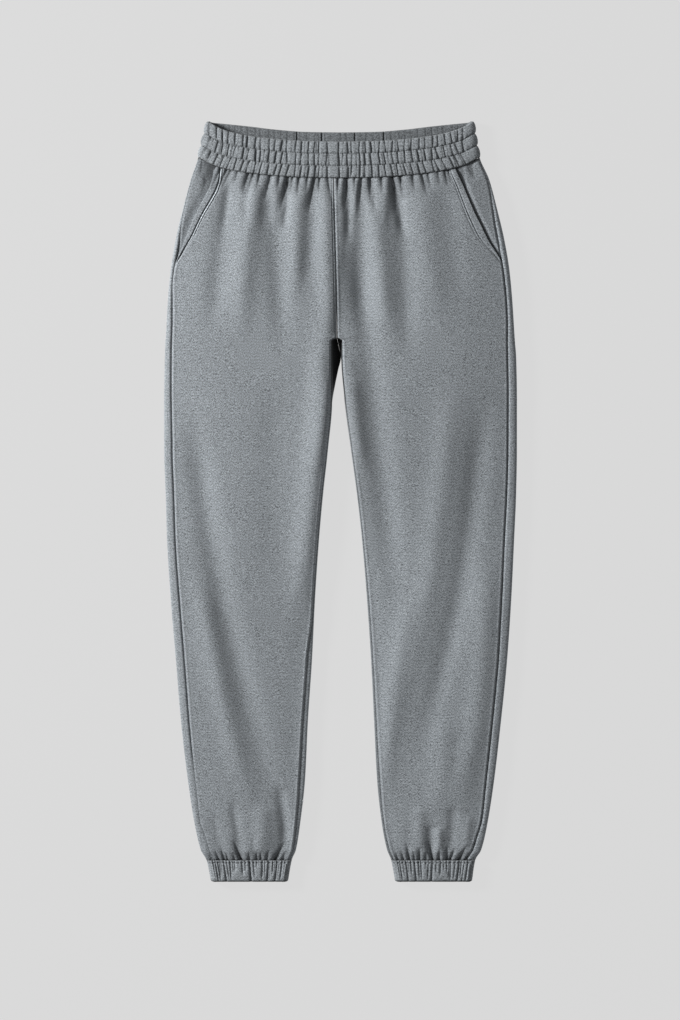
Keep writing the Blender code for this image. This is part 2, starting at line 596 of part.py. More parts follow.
def band_front_rows():
    """The casing's front half, from its top edge to its seam: outer rows, inner rows."""
    steps = BAND_ROWS * BAND_POINTS_A_ROW
    places = band_across(BAND_RIBS * BAND_POINTS_A_RIB + 1)
    outer_rows, inner_rows = [], []
    for step in range(steps + 1):
        share = step / steps
        points, normal = band_front_points(share, places)
        row = min(int(share * BAND_ROWS), BAND_ROWS - 1)
        puff = np.abs(np.sin(np.pi * BAND_ROWS * share)) ** PUFF_ROUND
        calm = smooth(np.minimum(places, 1 - places) / BAND_CALM)
        lift = puff * (BAND_PUFF + BAND_RIB_DEPTH * calm * (rib_wave(places, row) - 1))
        outer_rows.append(points + lift[:, None] * normal)
    plain = band_across(BAND_PLAIN, PLAIN_PLACES)
    for share in np.linspace(0, 1, BAND_ROWS + 1):
        points, normal = band_front_points(share, plain)
        inner_rows.append(points - BAND_CLOTH * normal)
    return outer_rows, inner_rows, places, plain


def band_front_points(share, places):
    """Points of the casing's plain front, and their normals, at a share of its height."""
    top = share * BAND_HEIGHT
    right = band_edge(RIGHT, top, share)
    left = band_edge(LEFT, top, share)
    x = right + (left - right) * places
    down = top + front_dip(2 * places - 1)
    crown, low = column(STATIONS, "crown", top), edge_height(top)
    over = shoulder(np.minimum(x - right, left - x), BAND_TIGHT, OUTER_BROAD, BAND_SHARE)
    z = low + SEAM_GAP / 2 + (crown - low) * over
    points = np.stack([x, WAIST_Y - down, z], axis=-1)
    slope = np.gradient(z, x)
    normal = np.stack([-slope, np.zeros_like(slope), np.ones_like(slope)], axis=-1)
    normal /= np.linalg.norm(normal, axis=-1, keepdims=True)
    normal[0], normal[-1] = (-1, 0, 0), (1, 0, 0)
    return points, normal


def band_back_half(side, share):
    """One half of a row of the casing's back, from its side fold to the centre: x and z.
    Its columns lie over the back panel's own."""
    top = share * BAND_HEIGHT
    rim = float(edge_height(top)) - SEAM_GAP / 2
    x_fold, z_fold = under_edge(band_edge(side, top, share), rim, side)
    centre = inner_edge(side, top) + side * CENTRE_INSETS[0]
    x_flat = x_fold[0] + (centre - x_fold[0]) * np.append(FLAT_SHARES, 1)
    x = np.concatenate([x_fold[::-1], x_flat])
    return x, np.concatenate([z_fold[::-1], np.zeros_like(x_flat)])


def band_back_rows():
    """The casing's back half: up to the folds at both sides and flat between them."""
    outer_rows, inner_rows = [], []
    for share in np.linspace(0, 1, BAND_ROWS + 1):
        x_right, z_right = band_back_half(RIGHT, share)
        x_left, z_left = band_back_half(LEFT, share)
        x = np.concatenate([x_right, x_left[::-1]])
        z = np.concatenate([z_right, z_left[::-1]])
        places = (x - x[0]) / (x[-1] - x[0])
        down = share * BAND_HEIGHT + back_dip(2 * places - 1)
        outer = np.stack([x, WAIST_Y - down, z], axis=-1)
        run, climb = np.gradient(x), np.gradient(z)
        normal = np.stack([climb, np.zeros_like(run), -run], axis=-1)
        normal /= np.linalg.norm(normal, axis=-1, keepdims=True)
        normal[0], normal[-1] = (-1, 0, 0), (1, 0, 0)
        outer_rows.append(outer)
        inner_rows.append(outer - BAND_CLOTH * normal)
    return outer_rows, inner_rows


def cuff_loop(side, down, ribbed):
    """One ring of the cuff: over the top from the outer edge to the inner one, and back
    along the surface. ribbed gives the outer ring, and otherwise the plain inner one."""
    outer, inner = float(outer_edge(side, down)), float(inner_edge(side, down))
    crown = float(column(STATIONS, "crown", down))
    low, high, pull = (0.0, crown, 0.0) if ribbed else (CUFF_CLOTH, crown - CUFF_CLOTH, CUFF_CLOTH)
    outer, inner = outer - side * pull, inner + side * pull
    count = CUFF_TOP_POINTS if ribbed else CUFF_PLAIN
    middle, half = (outer + inner) / 2, abs(outer - inner) / 2
    bend = (high - low) / 2
    straight = half - bend
    places = np.linspace(1, -1, count)
    under = middle + side * straight * np.linspace(-1, 1, CUFF_FLAT)
    top = np.stack([middle + side * straight * places, np.full(count, high)], axis=-1)
    flat = np.stack([under, np.full(CUFF_FLAT, low)], axis=-1)
    turn = np.stack([straight + bend * np.cos(CUFF_ANGLES), bend * np.sin(CUFF_ANGLES)], axis=-1)
    inner_turn = np.stack([middle - side * turn[:, 0], (low + high) / 2 + turn[:, 1]], axis=-1)
    outer_turn = np.stack([middle + side * turn[:, 0], (low + high) / 2 + turn[:, 1]], axis=-1)
    ring = np.concatenate([top, inner_turn, flat, outer_turn[::-1]])
    if ribbed:
        share = (down - CUFF_TOP) / (LENGTH - CUFF_TOP)
        puff = CUFF_PUFF * np.sin(np.pi * share) ** PUFF_ROUND
        uneven = places / 2 + CUFF_WANDER * np.sin(9 * places + side)
        wave = np.abs(np.cos(np.pi * CUFF_RIBS * uneven)) ** RIB_ROUND
        ends = CUFF_CALM + (1 - CUFF_CALM) * np.sin(np.pi * share)
        ring[:count, 1] += puff + CUFF_RIB_DEPTH * ends * (wave - 1)
    return np.stack([ring[:, 0], np.full(len(ring), WAIST_Y - down), ring[:, 1]], axis=-1)


def cuff_places(count):
    """Shares round a cuff's ring: its top, its inner turn, its underside, its outer turn."""
    turn_share = 0.5 - CUFF_TOP_SHARE
    turn = np.linspace(0, turn_share, len(CUFF_ANGLES) + 2)[1:-1]
    top = np.linspace(0, CUFF_TOP_SHARE, count)
    flat = 0.5 + np.linspace(0, CUFF_TOP_SHARE, CUFF_FLAT)
    return np.concatenate([top, top[-1] + turn, flat, flat[-1] + turn])


def cuff_rows(side):
    """The cuff's outer rings and its inner rings, from its seam to its hem."""
    top = ROWS[-1].down + SEAM_GAP
    outer = [cuff_loop(side, down, True) for down in np.linspace(top, LENGTH, CUFF_STEPS)]
    inner = [cuff_loop(side, down, False) for down in np.linspace(top, LENGTH, 2)]
    return outer, inner


class Shell:
    """Collects the points and triangles of one closed wall. A row is a list of pairs: a
    point's number, and its share of the way along the row."""

    def __init__(self):
        self.points = []
        self.faces = []

    def add_row(self, row, places=None):
        """Adds a row of points, evenly shared unless places says where each one lies."""
        start = len(self.points)
        self.points.extend(tuple(point) for point in row)
        places = np.linspace(0, 1, len(row)) if places is None else places
        return list(zip(range(start, len(self.points)), places))

    def zip_rows(self, first, second):
        """Joins two rows, which may differ in number, going along both by share."""
        i = j = 0
        while i < len(first) - 1 or j < len(second) - 1:
            ahead = first[i + 1][1] if i < len(first) - 1 else 2
            behind = second[j + 1][1] if j < len(second) - 1 else 2
            if ahead <= behind:
                self.faces.append((first[i][0], first[i + 1][0], second[j][0]))
                i += 1
            else:
                self.faces.append((first[i][0], second[j + 1][0], second[j][0]))
                j += 1

    def skin(self, rows):
        """Joins each row to the next."""
        for first, second in zip(rows, rows[1:]):
            self.zip_rows(first, second)


def turned(row):
    """A row read the other way."""
    return [(number, 1 - place) for number, place in reversed(row)]


def closed(row):
    """A ring's row, with its first point again at its end."""
    return row + [(row[0][0], 1.0)]


def ends_of(rows, end):
    """The first or last points of all rows, as a row of its own."""
    return [(row[end][0], place) for row, place in zip(rows, np.linspace(0, 1, len(rows)))]


def make_object(name, shell, colour):
    """The wall as a mesh object, its faces turned outwards."""
    mesh = bpy.data.meshes.new(name)
    mesh.from_pydata(shell.points, [], shell.faces)
    points = np.array(shell.points)
    corners = points[np.array(shell.faces)]
    if np.einsum("ij,ij->i", corners[:, 0], np.cross(corners[:, 1], corners[:, 2])).sum() < 0:
        mesh.flip_normals()
    mesh.shade_smooth()
    mesh.set_sharp_from_angle(angle=np.radians(50))
    mesh.materials.append(make_material(name, colour))
    obj = bpy.data.objects.new(name, mesh)
    bpy.context.scene.collection.objects.link(obj)


def make_material(name, colour):
    """Brushed cloth of one colour."""
    material = bpy.data.materials.new(name)
    material.use_nodes = True
    shader = material.node_tree.nodes["Principled BSDF"]
    shader.inputs["Base Color"].default_value = colour
    shader.inputs["Roughness"].default_value = 0.95
    shader.inputs["Metallic"].default_value = 0.0
    return material


def panel(name, outer_rows, inner_rows, colour, outer_places=None, inner_places=None):
    """A panel with two faces and four cut edges."""
    shell = Shell()
    outer = [shell.add_row(row, outer_places) for row in outer_rows]
    inner = [shell.add_row(row, inner_places) for row in inner_rows]
    shell.skin(outer)
    shell.skin([turned(row) for row in inner])
    shell.zip_rows(turned(outer[0]), turned(inner[0]))
    shell.zip_rows(outer[-1], inner[-1])
    shell.zip_rows(ends_of(outer, 0), ends_of(inner, 0))
    shell.zip_rows(turned(ends_of(outer, -1)), turned(ends_of(inner, -1)))
    make_object(name, shell, colour)


def ring(name, outer_rows, inner_rows, colour, outer_places, inner_places):
    """A tube with two faces and two open ends."""
    shell = Shell()
    outer = [closed(shell.add_row(row, outer_places)) for row in outer_rows]
    inner = [closed(shell.add_row(row, inner_places)) for row in inner_rows]
    shell.skin(outer)
    shell.skin([turned(row) for row in inner])
    shell.zip_rows(turned(outer[0]), turned(inner[0]))
    shell.zip_rows(outer[-1], inner[-1])
    make_object(name, shell, colour)


def clear_scene():
    """Removes what is in the scene."""
    for obj in list(bpy.data.objects):
        bpy.data.objects.remove(obj)


def main():
    """Builds every piece of the garment."""
    clear_scene()
    for side in (RIGHT, LEFT):
        name = side_name(side)
        panel("front_" + name, *zip(*front_rows(side)), HEATHER)
        panel("back_" + name, *zip(*back_rows(side)), HEATHER)
        panel("pocket_" + name, *zip(*pocket_rows(side)), HEATHER)
        places = [cuff_places(count) for count in (CUFF_TOP_POINTS, CUFF_PLAIN)]
        ring("cuff_" + name, *cuff_rows(side), HEATHER_BAND, *places)
    outer, inner, *places = band_front_rows()
    panel("waistband_front", outer, inner, HEATHER_BAND, *places)
    panel("waistband_back", *band_back_rows(), HEATHER_BAND)


main()
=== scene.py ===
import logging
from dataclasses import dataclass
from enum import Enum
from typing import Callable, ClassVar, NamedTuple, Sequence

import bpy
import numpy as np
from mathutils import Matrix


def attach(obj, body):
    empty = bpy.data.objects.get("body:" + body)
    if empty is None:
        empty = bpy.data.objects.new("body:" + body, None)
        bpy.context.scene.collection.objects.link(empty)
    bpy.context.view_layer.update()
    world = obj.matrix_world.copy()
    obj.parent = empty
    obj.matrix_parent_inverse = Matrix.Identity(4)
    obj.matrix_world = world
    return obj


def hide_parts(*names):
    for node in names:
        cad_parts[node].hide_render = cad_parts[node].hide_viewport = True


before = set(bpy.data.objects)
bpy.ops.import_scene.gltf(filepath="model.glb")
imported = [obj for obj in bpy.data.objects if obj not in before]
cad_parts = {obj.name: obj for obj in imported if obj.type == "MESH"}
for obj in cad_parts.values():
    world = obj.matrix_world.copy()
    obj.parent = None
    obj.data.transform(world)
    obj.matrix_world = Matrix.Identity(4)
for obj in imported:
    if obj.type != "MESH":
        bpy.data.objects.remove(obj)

# Jogger sweatpants of marled fleece, laid flat on their back, front up.
#
# Metres; only the tables are in tenths of a millimetre. X runs across (the wearer's right leg is
# at -X), Y along (waist at +Y) and Z up out of the surface they lie on. "Down" is the distance
# below the waist tips: y = waist - down. Each piece is a thin closed wall of cloth on the form of
# its solid, worked out on a fine grid.

Array = np.ndarray
Two = tuple[float, float]
Three = tuple[float, float, float]
Object = bpy.types.Object
Socket = bpy.types.NodeSocket

LOG = logging.getLogger("sweatpants")
SHARP_EDGE = 62.0  # degrees
TENTHS = 10000  # tenths of a millimetre in a metre: the tables' unit
SPACING_STEPS = 4000  # how finely a table of spacings is summed
SHORTEST = 1e-12
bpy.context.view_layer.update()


class Side(Enum):
    """The wearer's sides, as signs of X."""

    RIGHT = -1
    LEFT = 1

    @property
    def word(self) -> str:
        """The side's word in names and tables."""
        return self.name.lower()


class Station(NamedTuple):
    """The outline across the garment at a distance down, and the height of its top."""

    down: float
    right_outer: float
    right_inner: float
    left_inner: float
    left_outer: float
    crown: float


class SeamLine(NamedTuple):
    """How far in from each edge the seams lie on the front."""

    down: float
    right_side: float
    right_inseam: float
    left_side: float
    left_inseam: float


class Pair(NamedTuple):
    """The X of a line of either leg at a distance down."""

    down: float
    right: float
    left: float


class Dip(NamedTuple):
    """How far the waist edges dip at a share of the half width."""

    share: float
    front: float
    back: float


class Fold(NamedTuple):
    """A large soft fold: its path, half width, and depth (a trough is below 0)."""

    x1: float
    down1: float
    x2: float
    down2: float
    x3: float
    down3: float
    width: float
    depth: float


class Crease(NamedTuple):
    """A narrow valley that starts at a seam: place, sideways lean a metre on, reach, half
    width and depth."""

    x: float
    lean: float
    reach: float
    width: float
    depth: float


class Spacing(NamedTuple):
    """How far apart a panel's rows lie at a distance down."""

    down: float
    step: float


class Ramp(NamedTuple):
    """A smooth step along a distance: 0 up to its start, and 1 a length further on."""

    start: float
    length: float

    def at(self, place: Array) -> Array:
        """The step's share at places."""
        return smooth((place - self.start) / self.length)


def named(kind: type, rows: Sequence[tuple], ratios: Sequence[str] = ()) -> tuple:
    """A table's rows with their columns named, brought from tenths of a millimetre to metres.

    Args:
        kind: The class of a row.
        rows: The rows of numbers.
        ratios: The columns that aren't lengths, and stay as they are.

    Returns:
        The table.
    """
    scales = [1 if name in ratios else TENTHS for name in kind._fields]
    return tuple(kind(*(value / scale for value, scale in zip(row, scales))) for row in rows)


STATIONS = named(Station, (
    (0, -1750, -85, -85, 1745, 165), (185, -1797, -85, -85, 1772, 170),
    (475, -1870, -85, -85, 1830, 170), (765, -1968, -85, -85, 1955, 180),
    (1160, -2072, -80, -80, 2060, 200), (1550, -2165, -70, -70, 2152, 205),
    (1950, -2230, -60, -60, 2220, 205), (2345, -2270, -52, -52, 2258, 205),
    (2845, -2298, -46, -46, 2290, 205), (2890, -2302, -105, 7, 2293, 205),
    (3105, -2310, -105, 8, 2310, 205), (3660, -2320, -108, 52, 2320, 200),
    (4320, -2320, -165, 138, 2320, 190), (4910, -2300, -230, 217, 2310, 180),
    (5505, -2282, -283, 283, 2284, 175), (6295, -2232, -336, 349, 2246, 170),
    (7085, -2166, -375, 402, 2192, 165), (7875, -2100, -428, 441, 2113, 165),
    (8665, -2008, -467, 481, 2021, 170), (9255, -1916, -533, 546, 1929, 175),
    (9585, -1837, -586, 612, 1850, 165), (9718, -1765, -640, 665, 1775, 135),
    (10000, -1705, -691, 718, 1731, 125),
))
SEAMS = named(SeamLine, (
    (475, 15, 15, 15, 15), (800, 15, 15, 24, 15), (950, 15, 15, 34, 15), (1175, 17, 15, 55, 15),
    (1440, 41, 15, 79, 16), (1700, 59, 15, 83, 16), (1900, 45, 15, 80, 16),
    (2080, 41, 15, 78, 16), (2344, 64, 15, 76, 16), (2607, 79, 15, 80, 16),
    (3134, 93, 15, 112, 17), (3660, 102, 15, 114, 17), (4320, 112, 15, 117, 17),
    (5505, 114, 15, 126, 18), (6500, 120, 18, 125, 26), (7085, 117, 60, 116, 26),
    (7611, 115, 61, 114, 29), (8137, 109, 65, 110, 33), (8665, 98, 70, 103, 40),
    (8927, 92, 60, 93, 35), (9190, 76, 50, 82, 30), (9440, 112, 43, 106, 32),
    (9718, 108, 35, 121, 35),
))
# Where the cloth of each leg meets the surface at the fork
FEET = named(Pair, (
    (2845, -48, -47), (2890, -38, -37), (3000, -14, -13), (3105, 5, 6), (3265, -30, 24),
    (3460, -70, 38), (3660, -106, 52), (4000, -134, 94),
))
# The fronts' cut edges at the slanted pocket mouths
MOUTHS = named(Pair, (
    (475, -1672, 1440), (600, -1675, 1500), (700, -1678, 1546), (850, -1714, 1613),
    (976, -1772, 1664), (1200, -1890, 1760), (1400, -1978, 1860), (1590, -2055, 1955),
    (1745, -2116, 2058), (1875, -2170, 2125), (1960, -2190, 2135),
))
DIPS = named(Dip, (
    (0, 276, 132), (0.25, 268, 126), (0.49, 240, 95), (0.68, 198, 55), (0.8, 155, 33),
    (0.9, 98, 16), (1, 0, 0),
), ratios=("share",))
FOLDS = named(Fold, (
    # from the waist down, the wearer's right side
    (-1400, 600, -1540, 1550, -1700, 2900, 140, -30),
    (-1020, 600, -1215, 1550, -1330, 3000, 140, 32),
    (-880, 750, -850, 1550, -730, 3200, 140, -30), (-520, 750, -573, 1550, -600, 2500, 110, 32),
    (-330, 720, -375, 1550, -440, 2300, 95, -14), (-190, 750, -180, 1650, -110, 3100, 125, 46),
    (0, 700, -5, 1500, -10, 2300, 60, 10),
    # and the left side
    (277, 700, 275, 1600, 320, 3000, 130, -34), (349, 780, 494, 1550, 600, 3000, 120, 26),
    (700, 700, 820, 1500, 900, 3300, 140, -32), (1080, 660, 1126, 1500, 1310, 2900, 160, 18),
    (1400, 700, 1470, 1500, 1600, 2600, 140, -10),
    # down the legs
    (-150, 2300, -320, 4450, -570, 6900, 165, 62),
    (-800, 3300, -860, 4500, -800, 6400, 240, -18),
    (-1980, 3600, -1660, 5700, -780, 9350, 165, -42),
    (-1900, 5800, -1500, 7800, -1060, 9300, 140, 31), (50, 2900, 125, 3400, 300, 5000, 100, 14),
    (160, 1200, 470, 3950, 760, 6900, 180, -46), (1460, 3300, 1200, 5800, 620, 8500, 160, 24),
    (1920, 3400, 1600, 6000, 940, 8800, 150, -30),
))
# Under the waistband, running down
WAIST_CREASES = named(Crease, (
    (-1780, -0.3, 240, 22, 23), (-1705, -0.25, 410, 28, 32), (-1646, -0.3, 240, 18, 23),
    (-1570, -0.38, 330, 21, 26), (-1490, -0.42, 360, 22, 27), (-1435, -0.45, 320, 21, 24),
    (-1350, -0.2, 240, 21, 15), (-1205, -0.28, 280, 21, 27), (-1140, -0.3, 330, 22, 30),
    (-1060, -0.16, 240, 18, 23), (-915, -0.22, 360, 22, 32), (-800, -0.12, 210, 18, 18),
    (-690, -0.21, 480, 20, 36), (-625, -0.14, 240, 18, 26), (-540, -0.1, 280, 21, 27),
    (-430, -0.1, 210, 18, 18), (-336, -0.17, 490, 23, 35), (-270, -0.08, 240, 18, 26),
    (-165, 0.16, 410, 21, 19), (-30, -0.02, 240, 18, 23), (86, -0.08, 460, 23, 33),
    (190, -0.04, 240, 18, 20), (277, -0.08, 410, 21, 31), (390, 0.02, 350, 23, 31),
    (540, 0.06, 240, 21, 26), (680, 0.1, 530, 25, 38), (790, 0.12, 360, 22, 35),
    (950, 0.12, 240, 21, 23), (1070, 0.24, 330, 21, 26), (1150, 0.18, 240, 18, 20),
    (1280, 0.16, 210, 18, 15), (1370, 0.2, 240, 18, 20), (1415, 0.22, 240, 18, 18),
    (1570, 0.3, 330, 21, 27), (1690, 0.32, 280, 21, 26),
), ratios=("lean",))
# Above the cuffs, running up
CUFF_CREASES = named(Crease, (
    (-1690, -0.3, 110, 14, 14), (-1600, -0.3, 150, 15, 19), (-1526, -0.26, 180, 15, 22),
    (-1481, -0.22, 130, 14, 20), (-1390, -0.2, 110, 14, 15), (-1304, -0.35, 290, 21, 40),
    (-1197, -0.05, 130, 14, 20), (-1102, 0.05, 150, 14, 22), (-1047, 0.02, 130, 14, 22),
    (-970, 0.2, 150, 14, 20), (-868, 0.53, 230, 19, 34), (-760, 0.3, 130, 14, 15),
    (760, -0.3, 130, 14, 15), (830, -0.22, 150, 14, 19), (907, -0.16, 240, 16, 27),
    (970, -0.05, 130, 14, 19), (1034, 0.05, 200, 16, 27), (1120, 0.02, 130, 14, 17),
    (1210, -0.21, 270, 18, 34), (1294, 0.05, 180, 15, 24), (1394, 0.07, 200, 15, 27),
    (1440, 0.41, 170, 14, 26), (1551, 0.55, 200, 17, 31), (1650, 0.4, 130, 14, 17),
), ratios=("lean",))
# Between a cuff's ribs: places from its middle, down from its seam
CUFF_RIBS = named(Crease, (
    (-480, 0.1, 280, 7, 24), (-445, 0.16, 260, 6, 18), (-390, 0.1, 200, 8, 15),
    (-335, 0.14, 280, 9, 19), (-250, 0.06, 240, 9, 18), (-185, 0, 140, 10, 12),
    (-92, 0.05, 180, 10, 14), (6, 0.07, 300, 10, 27), (100, 0.02, 90, 10, 12),
    (178, -0.04, 220, 8, 18), (258, -0.08, 280, 9, 21), (316, -0.06, 160, 8, 14),
    (372, -0.12, 280, 9, 20), (440, -0.14, 240, 7, 19), (488, -0.1, 300, 8, 26),
), ratios=("lean",))
# Slighter folds below the waist, down the legs and above the cuffs
SOFT_FOLDS = named(Fold, (
    (-1000, 400, -995, 850, -1000, 1600, 80, -14), (-860, 660, -850, 1000, -850, 1500, 55, 14),
    (-1230, 660, -1240, 1000, -1260, 1500, 60, -15),
    (-670, 700, -695, 1030, -740, 1500, 50, -30),
    (-1450, 700, -1490, 1030, -1560, 1600, 60, -16), (690, 660, 765, 1030, 840, 1650, 62, -28),
    (95, 700, 105, 1030, 100, 1700, 48, -20), (190, 720, 198, 1000, 178, 1350, 42, 16),
    (430, 700, 441, 1030, 460, 1300, 45, -18), (570, 720, 586, 1030, 560, 1500, 60, 12),
    (-1420, 8900, -1340, 9420, -1280, 9750, 62, -20),
    (-1140, 9350, -1140, 9550, -1140, 9750, 40, -8),
    (-810, 8700, -730, 9350, -750, 9720, 70, -26),
    (-1010, 8950, -1020, 9350, -1040, 9720, 120, 27),
    (-1680, 9100, -1600, 9450, -1500, 9720, 70, -12),
    (1180, 9220, 1190, 9470, 1215, 9720, 60, -20), (1300, 9250, 1290, 9500, 1300, 9720, 55, 15),
    (1040, 8950, 1040, 9400, 1050, 9720, 80, 15), (1490, 8950, 1460, 9350, 1440, 9720, 75, -20),
    (1680, 9100, 1660, 9400, 1600, 9720, 70, 14), (1960, 5600, 1820, 7600, 1370, 9650, 170, 30),
    (960, 6000, 660, 7800, 520, 9500, 140, 28), (1400, 7800, 1310, 8800, 1260, 9250, 150, 22),
    (125, 3300, 175, 3900, 310, 4700, 120, 22), (-140, 3300, -180, 3800, -310, 4700, 125, 21),
    (1520, 3300, 1500, 4300, 1460, 5600, 200, 9), (900, 9200, 890, 9450, 910, 9720, 50, -4),
))
ROW_STEPS = named(Spacing, (
    (478, 4.5), (510, 6), (650, 11), (950, 20), (1500, 34), (2600, 42), (2800, 16), (2845, 9),
    (2900, 10), (3100, 26), (3700, 48), (5000, 62), (8600, 56), (9150, 26), (9450, 12),
    (9650, 7), (9715, 4.5),
))


def through(knots: Sequence[float], values: Array, at: Array) -> Array:
    """A smooth curve through the knots with no overshoot: cubic pieces whose slopes are the
    harmonic means of their neighbours' slopes.

    Args:
        knots: Rising places of the knots.
        values: The values there, along the last axis.
        at: Places to read the curve at.

    Returns:
        The values at those places, in the shape of values' other axes, then of at.
    """
    knots, values = np.asarray(knots, float), np.asarray(values, float)
    at = np.clip(at, knots[0], knots[-1])
    steps = np.diff(values) / np.diff(knots)
    product, total = steps[..., :-1] * steps[..., 1:], steps[..., :-1] + steps[..., 1:]
    slopes = np.zeros(values.shape)
    slopes[..., 1:-1] = np.where(product > 0, 2 * product / np.where(total == 0, 1, total), 0)
    slopes[..., 0], slopes[..., -1] = steps[..., 0], steps[..., -1]
    left = np.clip(np.searchsorted(knots, at, side="right") - 1, 0, len(knots) - 2)
    width = knots[left + 1] - knots[left]
    share = (at - knots[left]) / width
    return (
        values[..., left] * (1 + 2 * share) * (1 - share) ** 2
        + values[..., left + 1] * share**2 * (3 - 2 * share)
        + width * slopes[..., left] * share * (1 - share) ** 2
        - width * slopes[..., left + 1] * share**2 * (1 - share)
    )


def column(table: Sequence[tuple], name: str, at: Array) -> Array:
    """A table's named column, read at places along its first one."""
    return through([row[0] for row in table], [getattr(row, name) for row in table], at)


def smooth(share: Array) -> Array:
    """0 to 1 with no corner at either end."""
    share = np.clip(share, 0, 1)
    return share * share * (3 - 2 * share)


def rise(share: Array, power: float = 2.6) -> Array:
    """A fold's quarter round: 0 and upright at the edge, 1 and level a full width in."""
    return np.sqrt(1 - (1 - np.clip(share, 0, 1)) ** power)


def shoulder(distance: Array, tight: float, broad: float, share: float) -> Array:
    """How a folded edge comes up, 0 to 1: a share of it in a tight quarter circle, and the
    rest in a broad soft curve.

    Args:
        distance: From the edge.
        tight: The circle's width.
        broad: The curve's width.
        share: The circle's share of the height.

    Returns:
        Shares of the full height.
    """
    slow = 1 - (1 - np.clip(distance / broad, 0, 1)) ** 2
    return share * rise(distance / tight, 2.0) + (1 - share) * slow


def nose(distance: Array, radius: float) -> Array:
    """How far a rounded cut edge lies below its face: a quarter circle of that radius."""
    inside = 1 - np.clip(distance / radius, 0, 1)
    return radius * (1 - np.sqrt(1 - inside**2))


def graded(start: float, stop: float, spacings: Sequence[Spacing]) -> Array:
    """Places between two ends whose steps follow a table: equal shares of the running sum of
    one over the step.

    Args:
        start: First place.
        stop: Last place.
        spacings: The steps wanted along the way.

    Returns:
        An odd number of rising places.
    """
    fine = np.linspace(start, stop, SPACING_STEPS + 1)
    density = 1 / column(spacings, "step", fine)
    total = np.concatenate([[0], np.cumsum((density[1:] + density[:-1]) / 2 * np.diff(fine))])
    count = 2 * int(round(total[-1] / 2)) + 1
    return np.interp(np.linspace(0, total[-1], count), total, fine)


def crowded(count: int, crowding: float) -> Array:
    """Places from 0 to 1, closer together at both ends: a blend of even ones and a half
    turn's cosine."""
    even = np.linspace(0, 1, count)
    return (1 - crowding) * even + crowding * (1 - np.cos(np.pi * even)) / 2


def unit(vectors: Array) -> Array:
    """Vectors brought to length 1 along the last axis."""
    return vectors / np.maximum(np.linalg.norm(vectors, axis=-1, keepdims=True), SHORTEST)


def grid_normals(points: Array, ring: bool = False) -> Array:
    """Unit normals of a grid of points: the cross product of its differences both ways.

    Args:
        points: Rows by columns by x, y, z.
        ring: Whether the last column runs on into the first.

    Returns:
        Normals in the same shape, to the left of the columns' direction seen along the rows.
    """
    along = np.gradient(points, axis=0)
    if ring:
        across = np.roll(points, -1, axis=1) - np.roll(points, 1, axis=1)
    else:
        across = np.gradient(points, axis=1)
    return unit(np.cross(across, along))


def bell(distance: Array, width: float) -> Array:
    """One over e to the square of the distance in half widths."""
    return np.exp(-((distance / width) ** 2))


def bells(x: Array, paths: Array, widths: Array, power: float) -> Array:
    """Bells across paths: one over e to the power of the distance in half widths."""
    return np.exp(-((np.abs(x - paths) / widths) ** power))


@dataclass(frozen=True)
class Valley:
    """A crease's section: a sharp-bottomed bell, and a wider round one over it."""

    power: float
    broad: float  # the round bell's width, in the sharp one's
    parts: Two  # the sharp and the round bell's shares
    shift: float = 0.0  # how far to one side the round bell lies

    def depths(self, x: Array, path: Array, width: Array) -> Array:
        """The section at places beside a path, as parts of the crease's depth."""
        sharp = self.parts[0] * bells(x, path, width, self.power)
        return sharp + self.parts[1] * bells(x, path + self.shift, self.broad * width, 2)


